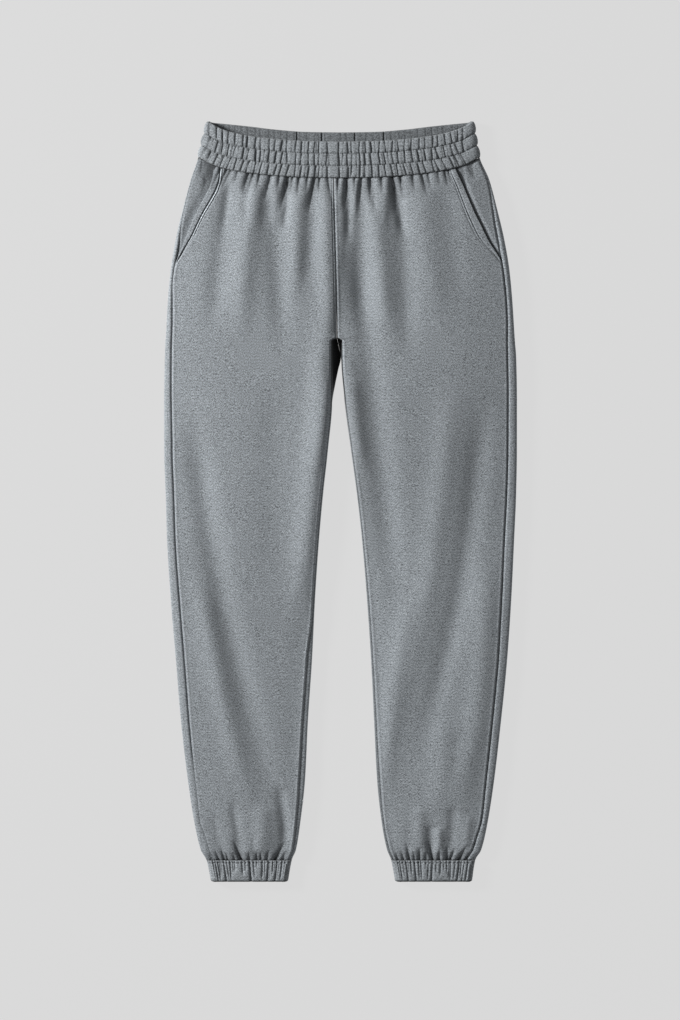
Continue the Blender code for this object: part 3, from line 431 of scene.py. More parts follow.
@dataclass(frozen=True)
class Lie:
    """How the garment lies: its outline and seams, and the height of its front."""

    waist_y: float = 0.500
    length: float = 1.000
    cloth: float = 0.0020
    seam_gap: float = 0.0003
    band_height: float = 0.0475
    panel_top: float = 0.0478
    panel_end: float = 0.9715
    cuff_top: float = 0.9718
    crotch: float = 0.2845
    dip_fade: float = 0.170
    edge_share: float = 0.56  # the outermost line's height, as a share of the crown's
    outer_tight: float = 0.0060
    outer_broad: float = 0.105
    outer_share: float = 0.33
    inner_tight: float = 0.0045
    inner_tight_low: float = 0.0022  # the same below the knees
    inner_low: Ramp = Ramp(0.60, 0.08)
    inner_broad: float = 0.036
    inner_share: float = 0.36
    inner_keeps: float = 0.35  # the share of the crown that the legs' inner edges keep
    sink_length: float = 0.105
    sink_power: float = 3.0
    groove_power: float = 2.2
    fork_power: int = 4
    fold_margin: float = 0.020
    soft_margin: float = 0.008
    crease_margin: float = 0.004
    fold_grows: float = 0.20  # the shares of its length that a fold grows and fades over
    fold_fades: float = 0.35
    inseam_start: float = 0.0045
    seam_low: Two = (0.30, 1.0)  # what side seams keep above the cuffs
    seam_low_down: Ramp = Ramp(0.80, 0.06)
    seam_least: float = 0.20
    seam_full: float = 0.0075
    mouth_end: float = 0.1890
    rim_lift: float = 0.0015  # the legs' edges stand this much higher beside the crotch
    rim_from: float = 0.215
    rim_ends: Ramp = Ramp(0.300, 0.060)
    crease_lead: float = 0.004
    crease_gain: float = 1.42
    crease_narrow: float = 0.86
    crease_fade: float = 0.9
    crease_spread: float = 0.7
    valley: Valley = Valley(1.25, 2.3, (0.70, 0.40))
    # painted shade in the narrow valleys and along the gathered seams: its reach, the valley
    # depth it is full at, how dark, and the seams' share
    cavity_reach: float = 0.0016
    cavity_depth: float = 0.0040
    cavity_painted_shade: float = 0.56
    cavity_seams: float = 0.9
    waist_sink: float = 0.0021  # the panels dive under the casing's seam
    cuff_sink: float = 0.0019
    sink_reach: float = 0.0024
    thinnest: float = 0.0004
    near_side: float = 0.18  # an X near the side seams
    near_centre: float = 0.01
    meeting_rounds: int = 8

    @property
    def cuff_height(self) -> float:
        """From the cuff's seam to its hem."""
        return self.length - self.cuff_top

    def outer_edge(self, side: Side, down: Array) -> Array:
        """The X of a leg's outer folded edge."""
        return column(STATIONS, side.word + "_outer", down)

    def inner_edge(self, side: Side, down: Array) -> Array:
        """The X of the centre seam and, below the crotch, of a leg's inner folded edge.

        Args:
            side: The leg.
            down: Distances down.

        Returns:
            Its X.
        """
        centre = column(STATIONS, "right_inner", down)
        edge = column(STATIONS, side.word + "_inner", down)
        return np.where(np.asarray(down) <= self.crotch, centre, edge)

    def edge_height(self, down: Array) -> Array:
        """The height of the folded edges' outermost lines."""
        return self.edge_share * column(STATIONS, "crown", down)

    def fork_share(self, down: Array) -> Array:
        """How far the front has sunk between the legs: 0 at the hips, 1 from the crotch."""
        return np.clip(1 - (self.crotch - down) / self.sink_length, 0, 1) ** self.sink_power

    def row_down(self, dip: str, x: Array, row: Array) -> Array:
        """How far down a row of points runs at x: it dips with the waist and straightens.

        Args:
            dip: Which waist edge it dips with, front or back.
            x: Places across.
            row: The row's distance down at the side folds.

        Returns:
            Distances down.
        """
        right, left = self.outer_edge(Side.RIGHT, row), self.outer_edge(Side.LEFT, row)
        width = np.where(np.asarray(x) < 0, -right, left)
        fade = 1 - smooth((row - self.band_height) / self.dip_fade)
        return row + column(DIPS, dip, np.clip(np.abs(x) / width, 0, 1)) * fade

    def seam_x(self, side: Side, seam: str, down: Array) -> Array:
        """Where a seam lies across.

        Args:
            side: The leg.
            seam: side or inseam.
            down: Distances down.

        Returns:
            Its X.
        """
        inset = column(SEAMS, side.word + "_" + seam, down)
        if seam == "side":
            return self.outer_edge(side, down) - side.value * inset
        below = smooth((down - self.crotch) / self.inseam_start)
        return self.inner_edge(side, down) + side.value * inset * below

    def seam_share(self, side: Side, down: Array) -> Array:
        """The share of its depth that a side seam keeps: less where it nears the fold.

        Args:
            side: The leg.
            down: Distances down.

        Returns:
            Shares.
        """
        inset = column(SEAMS, side.word + "_side", down)
        share = self.seam_least + (1 - self.seam_least) * smooth(inset / self.seam_full)
        return share * self.low_share(side, down)

    def low_share(self, side: Side, down: Array) -> Array:
        """The share of its depth that a side seam keeps above the cuff."""
        kept = self.seam_low[side is Side.LEFT]
        return 1 - (1 - kept) * self.seam_low_down.at(down)

    def cut_edge(self, side: Side, down: Array) -> Array:
        """The front panel's outer cut edge: the pocket mouth, then the side seam.

        Args:
            side: The leg.
            down: Distances down.

        Returns:
            Its X.
        """
        seam = self.seam_x(side, "side", down)
        mouth = column(MOUTHS, side.word, down)
        inside = np.minimum(mouth * side.value, seam * side.value) * side.value
        return np.where(np.asarray(down) < self.mouth_end, inside, seam)

    def edge_at(self, curve: Callable[[Array], Array], start: float, rows: Array) -> Array:
        """Where dipping rows of the front meet a curve, by repeated substitution.

        Args:
            curve: X of the curve at distances down.
            start: An X near it.
            rows: The rows.

        Returns:
            X of each row's meeting point.
        """
        x = np.full(np.shape(rows), start)
        for _ in range(self.meeting_rounds):
            x = curve(self.row_down("front", x, rows))
        return x

    def side_seam(self, side: Side, rows: Array) -> Array:
        """Where dipping rows of the front meet the side seam."""
        start = side.value * self.near_side
        return self.edge_at(lambda down: self.seam_x(side, "side", down), start, rows)

    def mouth_line(self, side: Side, rows: Array) -> Array:
        """Where dipping rows of the front meet its outer cut edge."""
        start = side.value * self.near_side
        return self.edge_at(lambda down: self.cut_edge(side, down), start, rows)

    def points(self, x: Array, down: Array, z: Array) -> Array:
        """Points by x, y, z from places across, distances down and heights."""
        return np.stack([x, self.waist_y - down, z], axis=-1)

    def waist_seam(self, x: Array) -> Array:
        """How far down the casing's seam runs at x, on the front."""
        return self.row_down("front", x, np.full(np.shape(x), self.band_height))

    def folds(self, x: Array, down: Array, table: Sequence[Fold]) -> Array:
        """The soft folds: each a bell across its path, growing and fading along it.

        Args:
            x: Places across.
            down: Distances down.
            table: The folds.

        Returns:
            Heights to add.
        """
        total = np.zeros(np.broadcast(x, down).shape)
        for fold in table:
            path = through(
                (fold.down1, fold.down2, fold.down3), (fold.x1, fold.x2, fold.x3), down
            )
            along = (down - fold.down1) / (fold.down3 - fold.down1)
            ends = smooth(along / self.fold_grows) * smooth((1 - along) / self.fold_fades)
            total = total + fold.depth * ends * bells(x, path, fold.width, 2)
        return total

    def creases(self, x: Array, along: Array, table: Sequence[Crease]) -> Array:
        """The narrow valleys at a gathered seam: each a sharp-bottomed bell and a round one
        across its path, deepest at the seam and wider and shallower away from it.

        Args:
            x: Places across.
            along: Distances from the seam.
            table: The creases.

        Returns:
            Depths, from 0 up.
        """
        total = np.zeros(np.broadcast(x, along).shape)
        for crease in table:
            share = np.clip(along / crease.reach, 0, 1)
            fade = (1 - share) ** self.crease_fade * smooth(along / self.crease_lead + 1)
            width = self.crease_narrow * crease.width * (1 + self.crease_spread * share)
            path = crease.x + crease.lean * along
            total = total + crease.depth * fade * self.valley.depths(x, path, width)
        return self.crease_gain * total

    def front_height(self, side: Side, x: Array, down: Array, fine: bool = True) -> Array:
        """The height of the front over the surface. It is crowned, falls in quarter rounds
        to both edges, sinks between the legs, and carries the folds and creases.

        Args:
            side: The leg.
            x: Places across.
            down: Distances down.
            fine: Whether the narrow creases and the dives at the seams show.

        Returns:
            Heights.
        """
        crown, low = column(STATIONS, "crown", down), self.edge_height(down)
        from_outer = (self.outer_edge(side, down) - x) * side.value
        from_inner = (x - self.inner_edge(side, down)) * side.value
        sunk = self.fork_share(down)
        groove = (1 - np.clip(from_inner / self.inner_broad, 0, 1)) ** self.groove_power
        tight = self.inner_tight_low - self.inner_tight
        tight = self.inner_tight + tight * self.inner_low.at(down)
        edge = 1 - shoulder(from_inner, tight, self.inner_broad, self.inner_share)
        edge = (1 - self.inner_keeps) * edge
        fork = sunk**self.fork_power
        inner = 1 - sunk * ((1 - fork) * groove + fork * edge)
        lift = self.rim_lift * smooth((down - self.rim_from) / (self.crotch - self.rim_from))
        lift = lift * (1 - self.rim_ends.at(down))
        inner = inner + (1 - inner) * lift / (crown - low)
        outer = shoulder(from_outer, self.outer_tight, self.outer_broad, self.outer_share)
        shape = low + (crown - low) * outer * inner
        shape = shape + smooth(from_outer / self.fold_margin) * self.folds(x, down, FOLDS)
        if not fine:
            return shape
        soft, near = (
            smooth(from_outer / margin) * (1 - sunk * (1 - smooth(from_inner / margin)))
            for margin in (self.soft_margin, self.crease_margin)
        )
        shape = shape + soft * self.folds(x, down, SOFT_FOLDS)
        below, above = self.from_seams(x, down)
        dive = self.waist_sink * np.exp(-np.maximum(below, 0) / self.sink_reach)
        dive = dive + self.cuff_sink * np.exp(-np.maximum(above, 0) / self.sink_reach)
        return shape - near * self.narrow(x, down) - dive

    def from_seams(self, x: Array, down: Array) -> tuple[Array, Array]:
        """How far below the waist's seam and above the cuff's places lie."""
        return down - self.waist_seam(x), self.cuff_top - down

    def narrow(self, x: Array, down: Array) -> Array:
        """The depths of the narrow valleys at both gathered seams.

        Args:
            x: Places across.
            down: Distances down.

        Returns:
            Depths, from 0 up.
        """
        below, above = self.from_seams(x, down)
        waist = self.creases(x, below, WAIST_CREASES)
        return waist + self.creases(x, above, CUFF_CREASES)

    def painted_cavity_shade(self, x: Array, down: Array) -> Array:
        """Painted shade where the cloth is sunk: its colour darkens into the narrow
        valleys and along the gathered seams.

        Args:
            x: Places across.
            down: Distances down.

        Returns:
            Shades, 1 on open cloth.
        """
        below, above = self.from_seams(x, down)
        seams = bell(np.maximum(below, 0), self.cavity_reach)
        seams = seams + bell(np.maximum(above, 0), self.cavity_reach)
        valleys = np.clip(self.narrow(x, down) / self.cavity_depth, 0, 1)
        return 1 - self.cavity_painted_shade * np.maximum(self.cavity_seams * seams, valleys)


@dataclass(frozen=True)
class Seam:
    """A sewn edge: the cloth turns down into it, over a small roll, with painted shade
    along it. Drawn on both pieces.
    """

    depth: float = 0.0015
    width: float = 0.0013
    power: float = 1.5
    roll: float = 0.00034
    # painted shade along the seam: how dark and how wide
    dark: float = 0.45
    dark_width: float = 0.0009
    roll_place: float = 0.0026
    roll_width: float = 0.0015
    pucker: float = 0.00016
    pucker_pitch: float = 0.0110
    pucker_width: float = 0.0050
    drifts: tuple[Two, ...] = ((1.7, 0.31), (0.9, 0.173))  # reach and rate

    def drop(self, distance: Array, down: Array) -> Array:
        """How far the face lies below its plain form: a narrow bell at the edge, less a low
        roll beside it, with slow uneven puckers along it.

        Args:
            distance: From the cut edge.
            down: Along the seam.

        Returns:
            Depths.
        """
        distance = np.maximum(distance, 0)
        turn = self.depth * np.exp(-((distance / self.width) ** self.power))
        roll = self.roll * bell(distance - self.roll_place, self.roll_width)
        phase = 2 * np.pi * down / self.pucker_pitch
        wander = phase
        for reach, rate in self.drifts:
            wander = wander + reach * np.sin(phase * rate)
        pucker = self.pucker * np.sin(wander) * np.exp(-distance / self.pucker_width)
        return turn - roll + pucker

    def shade(self, distance: Array, share: float = 1.0) -> Array:
        """Painted shade at a distance from the cut edge: the colour loses a bell."""
        return 1 - share * self.dark * bell(distance, self.dark_width)


@dataclass(frozen=True)
class Topstitch:
    """A row of stitches sunk into the cloth: its groove, and the length of its stitches."""

    depth: float = 0.0010
    width: float = 0.00075
    pitch: float = 0.0034
    stitch: float = 0.0024
    thread: float = 0.00020

    def groove(self, distance: Array) -> Array:
        """The groove's depth at a distance from the row: a narrow bell."""
        return self.depth * bell(distance, self.width)

    def dots(self, x: Array, wave: float, turn: float = 0.0) -> Array:
        """How far each stitch draws a row in: 1, less up to two waves between stitches."""
        return 1 - wave + wave * np.sin(2 * np.pi * x / self.pitch + turn)


@dataclass
class Wall:
    """A closed wall of cloth: a fine face, a back behind it, and the cut edges between.
    shade is painted shade where it is below 1 and painted light above 1, point by point of
    the face; the back gets one painted shade all over."""

    face: Array
    back: Array
    ring: bool = False
    shade: Array | None = None
    back_shade: float = 1.0

    @staticmethod
    def cells(numbers: Array, ring: bool) -> Array:
        """The four corners of each cell of a grid of point numbers.

        Args:
            numbers: The points' numbers.
            ring: Whether the last column runs on into the first.

        Returns:
            Quads, as point numbers.
        """
        left = numbers if ring else numbers[:, :-1]
        right = np.roll(numbers, -1, axis=1) if ring else numbers[:, 1:]
        return np.stack([left[:-1], right[:-1], right[1:], left[1:]], axis=-1).reshape(-1, 4)

    @staticmethod
    def rim(fine: Array, coarse: Array) -> Array:
        """Triangles between a border and one with as many points or half as many steps.

        Args:
            fine: The face's border, as point numbers.
            coarse: The back's.

        Returns:
            Triangles, as point numbers.
        """
        if len(fine) == len(coarse):
            a, b, c, d = fine[:-1], fine[1:], coarse[1:], coarse[:-1]
            return np.concatenate([np.stack(t, axis=-1) for t in ((a, b, d), (b, c, d))])
        a, b, c = fine[:-2:2], fine[1:-1:2], fine[2::2]
        d, e = coarse[:-1], coarse[1:]
        return np.concatenate([np.stack(t, axis=-1) for t in ((a, b, d), (b, e, d), (b, c, e))])

    def faces(self) -> tuple[Array, Array]:
        """The wall's quads and triangles, as point numbers: the face's cells, the back's
        turned round, and the rims.

        Returns:
            Quads and triangles.
        """
        fine = np.arange(self.face[..., 0].size).reshape(self.face.shape[:2])
        coarse = fine.size + np.arange(self.back[..., 0].size).reshape(self.back.shape[:2])
        quads = np.concatenate(
            [self.cells(fine, self.ring), self.cells(coarse, self.ring)[:, ::-1]]
        )
        if self.ring:
            tops = [np.append(fine[0], fine[0, 0]), np.append(coarse[0], coarse[0, 0])]
            ends = [np.append(fine[-1], fine[-1, 0]), np.append(coarse[-1], coarse[-1, 0])]
            return quads, np.concatenate([self.rim(*tops)[:, ::-1], self.rim(*ends)])
        rims = (
            self.rim(fine[0], coarse[0])[:, ::-1],
            self.rim(fine[-1], coarse[-1]),
            self.rim(fine[:, 0], coarse[:, 0]),
            self.rim(fine[:, -1], coarse[:, -1])[:, ::-1],
        )
        return quads, np.concatenate(rims)

    def make(self, name: str) -> Object:
        """The wall as a smooth mesh object, its faces turned outwards.

        Args:
            name: The piece's name.

        Returns:
            The object, with a point attribute named shade that holds the painted shade and light.
        """
        points = np.concatenate([self.face.reshape(-1, 3), self.back.reshape(-1, 3)])
        quads, triangles = self.faces()
        halves = np.concatenate([quads[:, :3], quads[:, [0, 2, 3]], triangles])
        corners = points[halves]
        bulk = np.einsum("ij,ij->i", corners[:, 0], np.cross(corners[:, 1], corners[:, 2])).sum()
        if bulk < 0:
            quads, triangles = quads[:, ::-1], triangles[:, ::-1]
        shade = np.ones(self.face.shape[:2]) if self.shade is None else self.shade
        dark = np.concatenate([shade.ravel(), np.full(self.back[..., 0].size, self.back_shade)])
        return mesh_object(name, points, quads, triangles, dark)


def mesh_object(name: str, points: Array, quads: Array, triangles: Array, shade: Array) -> Object:
    """Puts points and faces into a mesh and links its object.

    Args:
        name: The object's name.
        points: Points by x, y, z.
        quads: Faces of four point numbers.
        triangles: Faces of three.
        shade: The shade attribute of painted shade and light, a number a point.

    Returns:
        The object.
    """
    mesh = bpy.data.meshes.new(name)
    loops = np.concatenate([quads.ravel(), triangles.ravel()]).astype(np.int32)
    starts = np.concatenate(
        [4 * np.arange(len(quads)), 4 * len(quads) + 3 * np.arange(len(triangles))]
    )
    mesh.vertices.add(len(points))
    mesh.loops.add(len(loops))
    mesh.polygons.add(len(starts))
    mesh.vertices.foreach_set("co", points.astype(np.float32).ravel())
    mesh.loops.foreach_set("vertex_index", loops)
    mesh.polygons.foreach_set("loop_start", starts.astype(np.int32))
    mesh.update(calc_edges=True)
    # the shade attribute carries the painted shade and painted light
    mesh.attributes.new("shade", "FLOAT", "POINT").data.foreach_set(
        "value", shade.astype(np.float32)
    )
    mesh.shade_smooth()
    mesh.set_sharp_from_angle(angle=np.radians(SHARP_EDGE))
    return linked(name, mesh)


def linked(name: str, data: bpy.types.ID) -> Object:
    """A new object in the scene for a mesh, a light or a camera.

    Args:
        name: Its name.
        data: What it shows.

    Returns:
        The object.
    """
    obj = bpy.data.objects.new(name, data)
    bpy.context.scene.collection.objects.link(obj)
    return obj


def scaled_colour(material: bpy.types.Material, colour: Sequence[float], scale: Socket) -> None:
    """Links a colour times a varying scale to a material's base colour.

    Args:
        material: The material.
        colour: Its plain colour.
        scale: What the colour is multiplied by.
    """
    nodes, links = material.node_tree.nodes, material.node_tree.links
    tint = nodes.new("ShaderNodeVectorMath")
    tint.operation = "SCALE"
    tint.inputs[0].default_value = colour
    links.new(scale, tint.inputs["Scale"])
    links.new(tint.outputs["Vector"], nodes["Principled BSDF"].inputs["Base Color"])


@dataclass(frozen=True)
class Cut:
    """How a piece was cut from flat cloth, and how it is held."""

    width: float
    length: float
    area: float
    held: str = "laid"


@dataclass(frozen=True)
class MarlFleece:
    """Brushed fleece of marled yarn: short pale and dark streaks across the cloth, a fine
    fibre grain over them, slow changes of tone, and a soft nap."""

    name: str
    colour: Three
    streak: Three = (760.0, 1900.0, 1900.0)  # waves a metre: x, y, z
    grain: Three = (1100.0, 2300.0, 2300.0)
    courses: float = 79.5  # the rows of loops, as a wave texture's scale
    drift: Three = (360.0, 60.0, 60.0)  # how their rows wander
    drift_reach: float = 0.0075
    streak_contrast: float = 1.66
    grain_contrast: float = 0.60
    course_contrast: float = 0.15
    tone_contrast: float = 0.07
    tone_scale: float = 14.0
    details: tuple[float, ...] = (0.5, 1.0, 1.0, 0.0)  # octaves: streak, grain, tone, drift
    noise_roughness: float = 0.6
    roughness: float = 0.93
    gloss: float = 0.25
    nap: float = 0.12
    nap_spread: float = 0.6
    bump: float = 0.20
    bump_depth: float = 0.0005
    bump_grain: float = 0.6

    def make(self) -> bpy.types.Material:
        """The material: each noise is centred on 0 and added, the sum scales the colour,
        and the shade attribute, painted shade and painted light, scales it again.

        Returns:
            The material.
        """
        material = bpy.data.materials.new(self.name)
        material.use_nodes = True
        nodes, links = material.node_tree.nodes, material.node_tree.links
        shader = nodes["Principled BSDF"]
        place = nodes.new("ShaderNodeTexCoord").outputs["Object"]

        def noise(scale: Three, detail: float) -> Socket:
            """Noise from 0 to 1, stretched by its waves a metre along each axis.

            Args:
                scale: Waves a metre along x, y and z.
                detail: How many finer octaves it has.

            Returns:
                Its socket.
            """
            mapping = nodes.new("ShaderNodeMapping")
            mapping.inputs["Scale"].default_value = scale
            links.new(place, mapping.inputs["Vector"])
            texture = nodes.new("ShaderNodeTexNoise")
            texture.inputs["Scale"].default_value = 1.0
            texture.inputs["Detail"].default_value = detail
            texture.inputs["Roughness"].default_value = self.noise_roughness
            links.new(mapping.outputs["Vector"], texture.inputs["Vector"])
            return texture.outputs["Fac"]

        def sum_up(value: Socket, factor: float, onto: Socket | float) -> Socket:
            """A value times a factor, plus another value or number.

            Args:
                value: The value.
                factor: The factor.
                onto: What is added.

            Returns:
                The sum's socket.
            """
            add = nodes.new("ShaderNodeMath")
            add.operation = "MULTIPLY_ADD"
            links.new(value, add.inputs[0])
            add.inputs[1].default_value = factor
            if isinstance(onto, float):
                add.inputs[2].default_value = onto
            else:
                links.new(onto, add.inputs[2])
            return add.outputs[0]

        scales = (self.streak, self.grain, (self.tone_scale,) * 3, self.drift)
        streak, grain, tone, drift = (noise(*pair) for pair in zip(scales, self.details))
        course = nodes.new("ShaderNodeTexWave")
        course.bands_direction = "Y"
        course.inputs["Scale"].default_value = self.courses
        shift = nodes.new("ShaderNodeCombineXYZ")
        links.new(sum_up(drift, self.drift_reach, 0.0), shift.inputs["Y"])
        moved = nodes.new("ShaderNodeVectorMath")
        links.new(place, moved.inputs[0])
        links.new(shift.outputs["Vector"], moved.inputs[1])
        links.new(moved.outputs["Vector"], course.inputs["Vector"])
        parts = (
            (streak, 2 * self.streak_contrast),
            (grain, 2 * self.grain_contrast),
            (tone, 2 * self.tone_contrast),
            (course.outputs["Fac"], 2 * self.course_contrast),
        )
        total = 1.0 - sum(strength for _, strength in parts) / 2
        for value, strength in parts:
            total = sum_up(value, strength, total)
        # painted shade and light, point by point, from the shade attribute
        shade = nodes.new("ShaderNodeAttribute")
        shade.attribute_name = "shade"
        both = nodes.new("ShaderNodeMath")
        both.operation = "MULTIPLY"
        links.new(total, both.inputs[0])
        links.new(shade.outputs["Fac"], both.inputs[1])
        scaled_colour(material, self.colour, both.outputs[0])
        relief = nodes.new("ShaderNodeBump")
        relief.inputs["Strength"].default_value = self.bump
        relief.inputs["Distance"].default_value = self.bump_depth
        links.new(sum_up(grain, self.bump_grain, streak), relief.inputs["Height"])
        links.new(relief.outputs["Normal"], shader.inputs["Normal"])
        shader.inputs["Roughness"].default_value = self.roughness
        shader.inputs["Specular IOR Level"].default_value = self.gloss
        shader.inputs["Sheen Weight"].default_value = self.nap
        shader.inputs["Sheen Roughness"].default_value = self.nap_spread
        return material


@dataclass(frozen=True)
class Thread:
    """Spun thread: a fine twist across each stitch, with a faint gloss."""

    name: str = "seam_thread"
    colour: Three = (0.210, 0.226, 0.240)
    twist: float = 1600.0
    shades: Two = (0.8, 1.15)
    roughness: float = 0.7
    nap: float = 0.1

    def make(self) -> bpy.types.Material:
        """The material: a wave along the thread darkens and lifts its strands.

        Returns:
            The material.
        """
        material = bpy.data.materials.new(self.name)
        material.use_nodes = True
        nodes, links = material.node_tree.nodes, material.node_tree.links
        shader = nodes["Principled BSDF"]
        place = nodes.new("ShaderNodeTexCoord").outputs["Object"]
        twist = nodes.new("ShaderNodeTexWave")
        twist.bands_direction = "DIAGONAL"
        twist.inputs["Scale"].default_value = self.twist / (2 * np.pi)
        links.new(place, twist.inputs["Vector"])
        ramp = nodes.new("ShaderNodeMapRange")
        ramp.inputs["To Min"].default_value, ramp.inputs["To Max"].default_value = self.shades
        links.new(twist.outputs["Fac"], ramp.inputs["Value"])
        scaled_colour(material, self.colour, ramp.outputs["Result"])
        shader.inputs["Roughness"].default_value = self.roughness
        shader.inputs["Sheen Weight"].default_value = self.nap
        return material


@dataclass
class Piece:
    """What every cloth piece shares: its names, its finish and its cut."""

    lie: Lie
    finish: bpy.types.Material
    cut: ClassVar[Cut]

    def dress(self, obj: Object, node: str, slot: str) -> Object:
        """Gives a piece its finish and body, hides the solid that it stands for, and reports it.

        Args:
            obj: The piece.
            node: The solid that it stands for.
            slot: The record's material slot; not used.

        Returns:
            The piece.
        """
        obj.data.materials.append(self.finish)
        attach(obj, "root")
        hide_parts(node)
        LOG.info("%s: %d points, for %s", obj.name, len(obj.data.vertices), node)
        return obj


@dataclass
class Paired(Piece):
    """A piece that comes in a pair, one on each side."""

    side: Side = Side.RIGHT

    @property
    def leg(self) -> int:
        """Which of each pair of values this side takes: 0 for the right, 1 for the left."""
        return int(self.side is Side.LEFT)

    def sew(self, wall: Wall, name: str, node: str, slot: str) -> Object:
        """Makes a wall one of a pair of pieces: the side's word ends both its names."""
        obj = wall.make(name + self.side.word)
        return self.dress(obj, node + self.side.word, slot)


@dataclass
class FrontPanel(Paired):
    """A front leg panel, from the casing's seam to the cuff: rows that dip with the waist,
    between the pocket mouth or side seam and the centre seam or inseam."""

    columns: int = 211
    crowding: float = 0.62
    seam: Seam = Seam()
    centre_seam: Seam = Seam(depth=0.0012, width=0.0011)
    mouth_radius: float = 0.0008
    mouth_thins: float = 0.40
    mouth_thins_width: float = 0.004
    mouth_lift: float = 0.0007
    mouth_lift_width: float = 0.010
    mouth_from: float = 0.040
    mouth_ends: Ramp = Ramp(-0.009, 0.008)  # from the mouth's end
    mouth_stitches: tuple[Topstitch, Topstitch] = (Topstitch(0.0019), Topstitch(0.0011))
    mouth_rows: Two = (0.0072, 0.0098)
    mouth_parts: Two = (1.0, 0.6)
    # painted shade in the mouth's stitch rows, and a painted highlight between them
    row_painted_shade: float = 0.80
    row_shift: float = 0.4  # the painted shades lie this far to one side, in the rows' half widths
    between_width: float = 0.00080
    between_painted_highlight: float = 1.55
    mouth_near: float = 0.18  # the share of their distance that the rows keep at its end
    mouth_near_from: float = 0.140
    mouth_spreads: tuple[Two, ...] = ((1.26, 0.92), (0.86, 1.24))
    mouth_row_ends: Two = (0.052, 0.184)
    centre_stitch: Topstitch = Topstitch(depth=0.0009)
    centre_row: float = 0.0028
    centre_row_ends: Two = (0.052, 0.270)
    centre_ends: Ramp = Ramp(-0.012, 0.010)  # from the crotch, as the next two
    inseam_starts: Ramp = Ramp(0.0, 0.010)
    rim_starts: Ramp = Ramp(0.03, 0.05)
    low_starts: Ramp = Ramp(0.48, 0.15)
    line_points: int = 400
    open_painted_shades: Two = (0.0, 1.45)  # painted shade, right and left: along the side seams
    deep_painted_shades: Two = (0.38, 0.1)  # painted shade along the inseams
    low_painted_shading: Two = (-0.05, 0.13)  # painted shade on the right and painted light on the left, below the knee
    rim_painted_shading: Two = (0.36, -0.20)  # painted light on the right and painted shade on the left, beside the inner edges
    rim_widths: Two = (0.0130, 0.0060)
    cut: ClassVar[Cut] = Cut(0.270, 0.960, 0.190)

    @property
    def mouth_stitch(self) -> Topstitch:
        """The stitches beside this side's pocket mouth."""
        return self.mouth_stitches[self.leg]

    def edges(self, rows: Array) -> tuple[Array, Array]:
        """The X of the panel's two cut edges at each row, half a seam's gap in.

        Args:
            rows: The rows.

        Returns:
            X of the outer and of the inner edge.
        """
        lie, sign = self.lie, self.side.value
        outer, start = lie.mouth_line(self.side, rows), sign * lie.near_centre
        inner = lie.edge_at(lambda down: lie.seam_x(self.side, "inseam", down), start, rows)
        return outer - sign * lie.seam_gap / 2, inner + sign * lie.seam_gap / 2

    def mouth_share(self, rows: Array) -> Array:
        """1 along the pocket mouth, and 0 below its end."""
        return 1 - self.mouth_ends.at(rows - self.lie.mouth_end)

    def closing(self, rows: Array) -> Array:
        """The share of their distance that the mouth's stitch rows keep: they run into the
        side seam where the mouth ends.

        Args:
            rows: The rows.

        Returns:
            Shares, one a row.
        """
        along = (rows - self.mouth_near_from) / (self.lie.mouth_end - self.mouth_near_from)
        near = 1 - (1 - self.mouth_near) * smooth(along)
        ends = (self.lie.panel_top, self.mouth_near_from)
        return near * np.interp(rows, ends, self.mouth_spreads[self.leg])

    def from_edges(
        self, x: Array, rows: Array, outer: Array, inner: Array
    ) -> tuple[Array, Array]:
        """How far places lie from the outer and the inner cut edge, square to the outer.

        Args:
            x: Places across.
            rows: The rows.
            outer: X of the outer edge at each row, as a column.
            inner: X of the inner edge, the same way.

        Returns:
            Both distances.
        """
        slant = np.gradient(outer[:, 0], rows[:, 0])[:, None]
        sign = self.side.value
        return (outer - x) * sign / np.sqrt(1 + slant**2), (x - inner) * sign

    def height(self, x: Array, rows: Array, outer: Array, inner: Array) -> Array:
        """The face's height: the front's, less the seams' turns, the mouth's rounded edge
        and the grooves of its stitch rows.

        Args:
            x: Places across, a row of them for each row.
            rows: The rows, as a column.
            outer: X of the outer edge at each row, as a column.
            inner: X of the inner edge, the same way.

        Returns:
            Heights.
        """
        lie = self.lie
        down = lie.row_down("front", x, rows)
        z = lie.front_height(self.side, x, down)
        from_outer, from_inner = self.from_edges(x, rows, outer, inner)
        mouth = self.mouth_share(rows)
        along = (rows - self.mouth_from) / (lie.mouth_end - self.mouth_from)
        middle = np.sin(np.pi * np.clip(along, 0, 1))
        z = z + mouth * middle * self.mouth_lift * np.exp(-from_outer / self.mouth_lift_width)
        z = z - mouth * nose(from_outer, self.mouth_radius)
        z = z - (1 - mouth) * lie.low_share(self.side, rows) * self.seam.drop(from_outer, down)
        for row, part in zip(self.mouth_rows, self.mouth_parts):
            groove = self.mouth_stitch.groove(from_outer - row * self.closing(rows))
            z = z - mouth * part * groove
        leg = self.inseam_starts.at(rows - lie.crotch)
        z = z - leg * self.seam.drop(from_inner, down)
        z = z - (1 - leg) * self.centre_seam.drop(from_inner, down)
        if self.side is Side.LEFT:
            return z
        centre = 1 - self.centre_ends.at(rows - lie.crotch)
        return z - centre * self.centre_stitch.groove(from_inner - self.centre_row)

